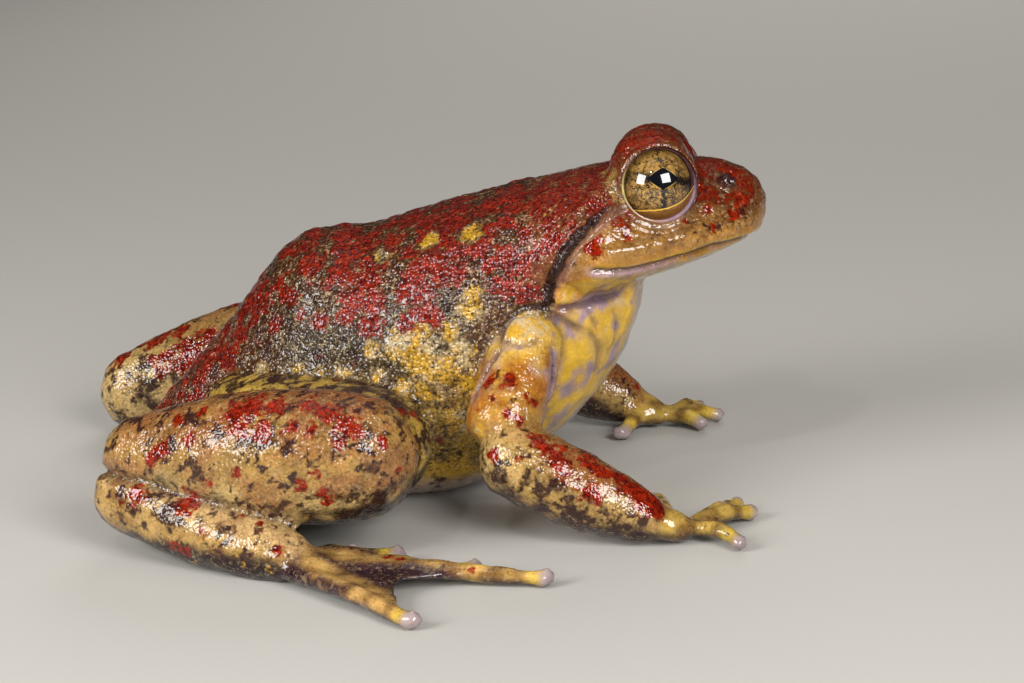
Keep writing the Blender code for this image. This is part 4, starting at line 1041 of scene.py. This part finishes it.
def wetSkin():
    # amphibian skin: mucus over granules; the clear wet coat gives the small sharp highlights
    made, tree = newMaterial("wetFrogSkin")
    place = addNode(tree, "TexCoord", output="Object")
    marks, grains = {}, {}
    for name in (*dict.fromkeys(layer["mark"] for layer in skinLayers), "crinkled"):
        marks[name] = addNode(tree, "Attribute", output="Fac", attribute_name=name)
    for name, (size, detail, roughness, distortion) in skinLook["grains"].items():
        grains[name] = addNode(tree, "TexNoise", {
            "Vector": place, "Scale": 1 / (size * mm), "Detail": detail, "Roughness": roughness,
            "Distortion": distortion,
        })
    grains["gap"] = addNode(tree, "TexVoronoi", {
        "Vector": place, "Scale": 1 / (skinLook["granule"] * mm), "Randomness": 0.9,
    }, "Distance")
    cellTone = addNode(tree, "SeparateColor", [grains["gap"].node.outputs["Color"]])
    frayed = addNode(tree, "Mix", {0: skinLook["cellShare"], 2: grains["edge"], 3: cellTone})

    zone = addNode(tree, "Attribute", output="Color", attribute_name="zoneColour")
    shade = addNode(tree, "MapRange", [grains["mottle"], *skinLook["shade"]])
    colour = zone
    for factor in (pigment("ffffff"), shade):  # wet skin is darker than its colours, and blotched
        colour = addNode(tree, "Mix", {0: 1.0, 6: colour, 7: factor}, **mixColours, blend_type="MULTIPLY")
    masks = {}
    for layer in skinLayers:
        mask = marks[layer["mark"]]
        if "fray" in layer:
            gain, low, high = layer["fray"]
            push = addNode(tree, "Math", [frayed, gain, -gain / 2], operation="MULTIPLY_ADD")
            pushed = addNode(tree, "Math", [mask, push], operation="ADD")
            mask = addNode(tree, "MapRange", [pushed, low, high], **softStep)
        masks[layer["mark"]] = mask
        share = layer.get("share", 1.0)
        if "thin" in layer:
            noiseName, *fall = layer["thin"]
            share = addNode(tree, "MapRange", [grains[noiseName], *fall], **softStep)
        mask = addNode(tree, "Math", [mask, share], operation="MULTIPLY")
        if "onRed" in layer:
            mask = addNode(tree, "Mix", {0: masks["redMark"], 2: mask, 3: layer["onRed"]})
        tone, *otherTone = (pigment(skinLook[name]) for name in layer["tones"])
        if "between" in layer:
            noiseName, *fall = layer["between"]
            share = addNode(tree, "MapRange", [grains[noiseName], *fall], **softStep)
            tone = addNode(tree, "Mix", {0: share, 6: tone, 7: otherTone[0]}, **mixColours)
        colour = addNode(tree, "Mix", {0: mask, 6: colour, 7: tone}, **mixColours)

    # granules stand up, the rest has soft wrinkles; no finer grain, so that each keeps its own wet highlight
    dome = addNode(tree, "MapRange", [grains["gap"], *skinLook["dome"]], **softStep)
    dome = addNode(tree, "Math", [dome, marks["granular"]], operation="MULTIPLY")
    soft = addNode(tree, "Math", [grains["crinkle"], marks["crinkled"]], operation="MULTIPLY")
    relief = addNode(tree, "Math", [soft, skinLook["wrinkleRise"], dome], operation="MULTIPLY_ADD")
    bump = addNode(tree, "Bump", {"Strength": 1.0, "Distance": 0.12 * mm, "Height": relief})
    shader = addNode(tree, "BsdfPrincipled", {
        **skinLook["wetCoat"], "Base Color": colour, "Normal": bump, "Coat Normal": bump,
    })
    addNode(tree, "OutputMaterial", [shader])
    return made


skin.data.materials.clear()
skin.data.materials.append(wetSkin())
skin.data.shade_smooth()
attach(skin, "root")
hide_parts(*fleshNodes)
print("skin dressed:", len(skin.data.polygons), "faces")


# Eyes: a ball with its iris pattern; sizes are shares of the ball's radius

irisLook = {
    "gold": "80602c", "goldPale": "9e7a40", "brown": "543819", "black": "0c0a0c", "pupil": "03040a",
    "ring": "c0a058", "lowerLid": "885a28", "lidLine": "dcb040", "rim": "4a3034",
    "pupilWide": 0.375, "pupilHigh": 0.27, "irisSize": 0.88, "irisShift": 0.12, "veinBend": 0.55,
    "axes": {"right": (0.187, -0.921, 0.341), "left": (0.187, 0.950, 0.250)},
    # each noise's scale, detail, roughness and distortion
    "grains": {
        "wobble": (8.0, 5.0, 0.65, 0.0), "fine": (24.0, 4.0, 0.75, 1.0), "thin": (9.0, 2.0, 0.5, 0.0),
        "push": (5.5, 6.0, 0.75, 0.0),
    },
    "cells": {"wideCells": 3.4, "narrowCells": 6.4},
    "ball": {
        "Roughness": 0.5, "IOR": 1.38, "Specular IOR Level": 0.05, "Coat Weight": 1.0, "Coat Roughness": 0.01,
        "Coat IOR": 1.6,
    },
}

# Measures over the eye, step by step: the name of each result, what makes it, and what goes in. u runs
# forward and v upward from the middle of the pupil
irisSteps = [
    ("besideU", "ABSOLUTE", "u"), ("besideV", "ABSOLUTE", "v"),
    # the iris is round, and reach is 1 at its edge
    ("irisU", "ADD", "u", irisLook["irisShift"]), ("squareU", "MULTIPLY", "irisU", "irisU"),
    ("square", "MULTIPLY_ADD", "v", "v", "squareU"), ("away", "SQRT", "square"),
    ("reach", "DIVIDE", "away", irisLook["irisSize"]),
    # the pupil is a rhomb with bowed sides, and diamond is 1 at its edge; a pale ring lies round parts of it
    ("wide", "DIVIDE", "besideU", irisLook["pupilWide"]), ("bowedWide", "POWER", "wide", 1.25),
    ("high", "DIVIDE", "besideV", irisLook["pupilHigh"]), ("bowedHigh", "POWER", "high", 1.25),
    ("diamond", "ADD", "bowedWide", "bowedHigh"),
    ("ringU", "SUBTRACT", "besideU", 0.19), ("ringAway", "ABSOLUTE", "ringU"),
    # height over the edge of the folded lower lid, which sags towards the middle
    ("lidU", "ADD", "u", 0.25), ("lidSquare", "MULTIPLY", "lidU", "lidU"),
    ("sag", "MULTIPLY_ADD", "lidSquare", 0.20, 0.28), ("lidEdge", "MULTIPLY_ADD", "lidSquare", "sag", -0.75),
    ("waver", "MULTIPLY_ADD", "wobble", 0.05, -0.025), ("height", "ADD", "v", "waver"),
    ("overLid", "SUBTRACT", "height", "lidEdge"),
    # distance from the dark band across the pupil, and from the seam below and above it
    ("sway", "MULTIPLY_ADD", "wobble", 0.42, -0.21), ("slant", "MULTIPLY_ADD", "u", 0.12, "v"),
    ("offSlant", "ABSOLUTE", "slant"), ("band", "ADD", "offSlant", "sway"),
    ("swayedU", "ADD", "u", "sway"), ("lean", "MULTIPLY_ADD", "v", 0.10, 0.02),
    ("seamU", "ADD", "swayedU", "lean"), ("seam", "ABSOLUTE", "seamU"),
]

# Layers of colour: the result, what it lies on, its colour or an earlier result, and how much of it, as a
# product of soft falls over a measure or a noise: low, high, and the shares there if they aren't 0 and 1
irisLayers = [
    ("iris", "brown", "goldPale", ("fine", 0.26, 0.50)),
    ("iris", "iris", "gold", ("fine", 0, 1, 0.35, 0.35)),
    # two sizes of black, branching veins, the finer ones fainter above, and specks
    ("iris", "iris", "black", ("wideCells", 0.0255, 0.085, 0.95, 0.0), ("thin", 0.36, 0.48, 0.55, 1.0)),
    (
        "iris", "iris", "black", ("narrowCells", 0.0405, 0.135, 0.95, 0.0), ("thin", 0.36, 0.48, 0.55, 1.0),
        ("v", -0.05, 0.30, 1.0, 0.5),
    ),
    ("iris", "iris", "black", ("fine", 0.60, 0.70, 0.0, 0.25)),
    ("iris", "iris", "brown", ("reach", 0.55, 0.95, 0.0, 0.40)),
    # the band, the seam below and above, the pale ring, the pupil and the black rim
    ("iris", "iris", "black", ("band", 0.04, 0.22, 1.0, 0.0), ("u", -0.80, -0.35, 0.5, 0.95)),
    ("iris", "iris", "black", ("seam", 0.035, 0.07, 1.0, 0.0), ("v", -0.24, -0.18, 1.0, 0.0)),
    ("iris", "iris", "black", ("seam", 0.01, 0.045, 0.9, 0.0), ("v", 0.18, 0.24)),
    ("iris", "iris", "ring", ("diamond", 1.04, 1.14, 0.55, 0.0), ("ringAway", 0.08, 0.17, 1.0, 0.0)),
    ("iris", "iris", "pupil", ("diamond", 0.97, 1.06, 1.0, 0.0)),
    ("iris", "iris", "black", ("reach", 0.92, 0.98, 0.0, 0.95)),
    # outside the iris, and the lower lid with the dark line at its foot and the pale line along its edge
    ("outer", "iris", "rim", ("reach", 1.0, 1.02, 0.0, 0.75)),
    ("lid", "iris", "lowerLid", ("fine", 0.35, 0.62, 0.80, 0.45)),
    ("lid", "lid", "black", ("overLid", -0.34, -0.28, 0.9, 0.0)),
    ("eye", "outer", "lid", ("overLid", -0.01, 0.01, 1.0, 0.0)),
    ("eye", "eye", "lidLine", ("overLid", -0.032, -0.020), ("overLid", -0.008, 0.008, 0.9, 0.0)),
]


def eyeMaterial(eye):
    # a living eye: gold iris with black veins behind a clear, wet cornea that mirrors the lights
    made, tree = newMaterial("goldenIris" + eye["word"].capitalize())
    axis = Vector(irisLook["axes"][eye["word"]]).normalized()
    across = (Vector((1, 0, 0)) - axis * axis.x).normalized()
    upward = axis.cross(across)
    upward *= -1 if upward.z < 0 else 1
    place = addNode(tree, "TexCoord", output="Object")
    out = addNode(tree, "VectorMath", [place, tuple(eye["centre"] * mm)], operation="SUBTRACT")
    local = addNode(tree, "VectorMath", {0: out, "Scale": 1 / (eyeSet["radius"] * mm)}, operation="SCALE")
    results = {}
    for name, way in (("u", across), ("v", upward)):
        results[name] = addNode(tree, "VectorMath", [local, tuple(way)], "Value", operation="DOT_PRODUCT")
    for name, (scale, detail, roughness, distortion) in irisLook["grains"].items():
        results[name] = addNode(tree, "TexNoise", {
            "Vector": local, "Scale": scale, "Detail": detail, "Roughness": roughness,
            "Distortion": distortion,
        })
    push = results["push"].node.outputs["Color"]
    push = addNode(tree, "VectorMath", {0: push, "Scale": irisLook["veinBend"]}, operation="SCALE")
    bent = addNode(tree, "VectorMath", [local, push], operation="ADD")
    for name, scale in irisLook["cells"].items():
        cells = {"Vector": bent, "Scale": scale}
        results[name] = addNode(tree, "TexVoronoi", cells, feature="DISTANCE_TO_EDGE")
    for name, kind, *inputs in irisSteps:
        results[name] = addNode(tree, "Math", [results.get(each, each) for each in inputs], operation=kind)
    tones = {}
    for name, base, top, *falls in irisLayers:
        base, top = (tones[tone] if tone in tones else rgba(irisLook[tone]) for tone in (base, top))
        share = 1.0
        for source, *fall in falls:
            each = addNode(tree, "MapRange", [results[source], *fall], **softStep)
            share = addNode(tree, "Math", [share, each], operation="MULTIPLY")
        tones[name] = addNode(tree, "Mix", {0: share, 6: base, 7: top}, **mixColours)
    shader = addNode(tree, "BsdfPrincipled", {**irisLook["ball"], "Base Color": tones["eye"]})
    addNode(tree, "OutputMaterial", [shader])
    return made


def newPiece(name, work, material):
    mesh = bpy.data.meshes.new(name)
    work.to_mesh(mesh)
    work.free()
    mesh.materials.append(material)
    piece = bpy.data.objects.new(name, mesh)
    bpy.context.scene.collection.objects.link(piece)
    return piece


def facing(eye, ahead=0.0):
    # the place of something that looks along the gaze, this far in front of the ball's centre
    turn = eye["gaze"].to_track_quat("Z", "Y").to_matrix().to_4x4()
    return Matrix.Translation((eye["centre"] + eye["gaze"] * ahead) * mm) @ turn


def makeEye(eye):
    work = bmesh.new()
    radius = eyeSet["radius"] * mm
    bmesh.ops.create_uvsphere(work, u_segments=64, v_segments=40, radius=radius, matrix=facing(eye))
    ball = newPiece("eyeball_" + eye["word"], work, eyeMaterial(eye))
    ball.data.shade_smooth()
    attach(ball, "root")
    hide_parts("eye_" + eye["word"])


for eye in eyes:
    makeEye(eye)
print("eyes set")


# Lid margins: the smooth wet edge that lies on the eyeball

lidLook = {
    "top": "4a1c16", "back": "b8b070", "below": "946a30", "front": "8a707c",
    "sides": 10, "steps": 72, "ahead": 0.2,
    "grain": 1.6,  # mm
    "shade": (0.3, 0.7, 0.7, 1.2),
    "wetEdge": {
        "Roughness": 0.4, "IOR": 1.4, "Coat Weight": 1.0, "Coat Roughness": 0.05, "Coat IOR": 1.6,
        "Subsurface Weight": 0.1, "Subsurface Scale": 0.8 * mm,
    },
}


def lidMaterial():
    # thin bare skin at the lid's edge: darker and glossier than the rest
    made, tree = newMaterial("wetLidEdge")
    place = addNode(tree, "TexCoord", output="Object")
    tone = addNode(tree, "TexNoise", {"Vector": place, "Scale": 1 / (lidLook["grain"] * mm), "Detail": 3.0})
    zone = addNode(tree, "Attribute", output="Color", attribute_name="edgeColour")
    shade = addNode(tree, "MapRange", [tone, *lidLook["shade"]])
    colour = addNode(tree, "Mix", {0: 1.0, 6: zone, 7: shade}, **mixColours, blend_type="MULTIPLY")
    shader = addNode(tree, "BsdfPrincipled", {**lidLook["wetEdge"], "Base Color": colour})
    addNode(tree, "OutputMaterial", [shader])
    return made


lidSkin = lidMaterial()


def makeLid(eye):
    work = bmesh.new()
    made = bmesh.ops.create_circle(work, segments=lidLook["sides"], radius=eyeSet["rimThick"] * mm)["verts"]
    bmesh.ops.rotate(work, matrix=Matrix.Rotation(math.pi / 2, 3, "X"), verts=made)
    bmesh.ops.translate(work, vec=(eyeSet["rimRadius"] * mm, 0, 0), verts=made)
    bmesh.ops.spin(
        work, geom=list(work.verts) + list(work.edges), cent=(0, 0, 0), axis=(0, 0, 1), angle=2 * math.pi,
        steps=lidLook["steps"], use_merge=True, use_duplicate=False,
    )
    bmesh.ops.remove_doubles(work, verts=work.verts, dist=1e-7)
    bmesh.ops.recalc_face_normals(work, faces=work.faces)
    # the margin is thickest below the front of the eye
    turn = facing(eye).to_3x3()
    for vert in work.verts:
        middle = Vector((vert.co.x, vert.co.y, 0)).normalized() * eyeSet["rimRadius"] * mm
        toward = (turn @ middle.normalized()).dot(Vector(eyeSet["rimThickWay"]))
        vert.co = middle + (vert.co - middle) * (1 + eyeSet["rimSwell"] * max(0, toward) ** 3)
    depth = math.sqrt(eyeSet["radius"] ** 2 - eyeSet["rimRadius"] ** 2) + lidLook["ahead"]
    bmesh.ops.transform(work, matrix=facing(eye, depth), verts=work.verts)
    lid = newPiece("lid_edge_" + eye["word"], work, lidSkin)
    lid.data.shade_smooth()
    # dark above, pale behind, brown and lilac below
    places, _, _ = readMesh(lid.data)
    out = places - np.array(eye["centre"])
    high, ahead = ramp(out[:, 2], -1.5, 3.0)[:, None], ramp(out[:, 0], -3.0, 3.0)[:, None]
    pale = (hump(out[:, 2] - 0.3, 2.0) * ramp(-out[:, 0], 1.5, 4.0))[:, None]
    tones = {name: np.array(linear(lidLook[name])) for name in ("top", "back", "below", "front")}
    colour = (tones["below"] * (1 - ahead) + tones["front"] * ahead) * (1 - high) + tones["top"] * high
    store(lid, "edgeColour", colour * (1 - pale) + tones["back"] * pale)
    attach(lid, "root")


for eye in eyes:
    makeLid(eye)
print("lid edges set")


# Stage: a pale floor, a soft surround, two softboxes beside the camera, small glints and broad soft lights

stageSet = {
    "floor": "a8a49d", "floorSize": 6.0, "floorRoughness": 0.9, "surround": "f0f0ee",
    "surroundStrength": 0.045, "aim": (0.02, -0.01, 0.03),
    # each light's place, size, power and whether wet things mirror it
    "lights": [
        ((-0.322, -0.302, 0.233), 0.23, 2.7, True), ((0.271, -0.396, 0.280), 0.23, 3.0, True),
        ((0.0, 0.1, 0.70), 0.50, 0.55, True), ((-0.10, -0.36, 0.46), 0.02, 0.30, True),
        ((0.02, -0.50, 0.05), 0.30, 1.6, False),  # for the low parts
        ((0.10, 0.62, 0.42), 0.45, 2.4, False),  # for the back
    ],
}


def makeStage():
    work = bmesh.new()
    bmesh.ops.create_grid(work, x_segments=1, y_segments=1, size=stageSet["floorSize"] / 2)
    paper, tree = newMaterial("matBackdropPaper")  # plain matt paper, so nothing mirrors in it
    shader = addNode(tree, "BsdfPrincipled", {
        "Base Color": rgba(stageSet["floor"]), "Roughness": stageSet["floorRoughness"],
    })
    addNode(tree, "OutputMaterial", [shader])
    floor = newPiece("floor", work, paper)
    world = bpy.data.worlds.new("surround")
    world.use_nodes = True
    back = world.node_tree.nodes["Background"]
    back.inputs[0].default_value = rgba(stageSet["surround"])
    back.inputs[1].default_value = stageSet["surroundStrength"]
    bpy.context.scene.world = world
    for number, (place, size, power, mirrored) in enumerate(stageSet["lights"], 1):
        light = bpy.data.lights.new(f"softbox_{number}", "AREA")
        light.shape = "SQUARE"
        light.size = size
        light.energy = power
        lamp = bpy.data.objects.new(light.name, light)
        bpy.context.scene.collection.objects.link(lamp)
        lamp.location = place
        lamp.visible_glossy = mirrored
        lamp.rotation_euler = (Vector(place) - Vector(stageSet["aim"])).to_track_quat("Z", "Y").to_euler()


makeStage()
bpy.context.scene.view_settings.view_transform = "Standard"
print("stage set")

bpy.context.view_layer.update()
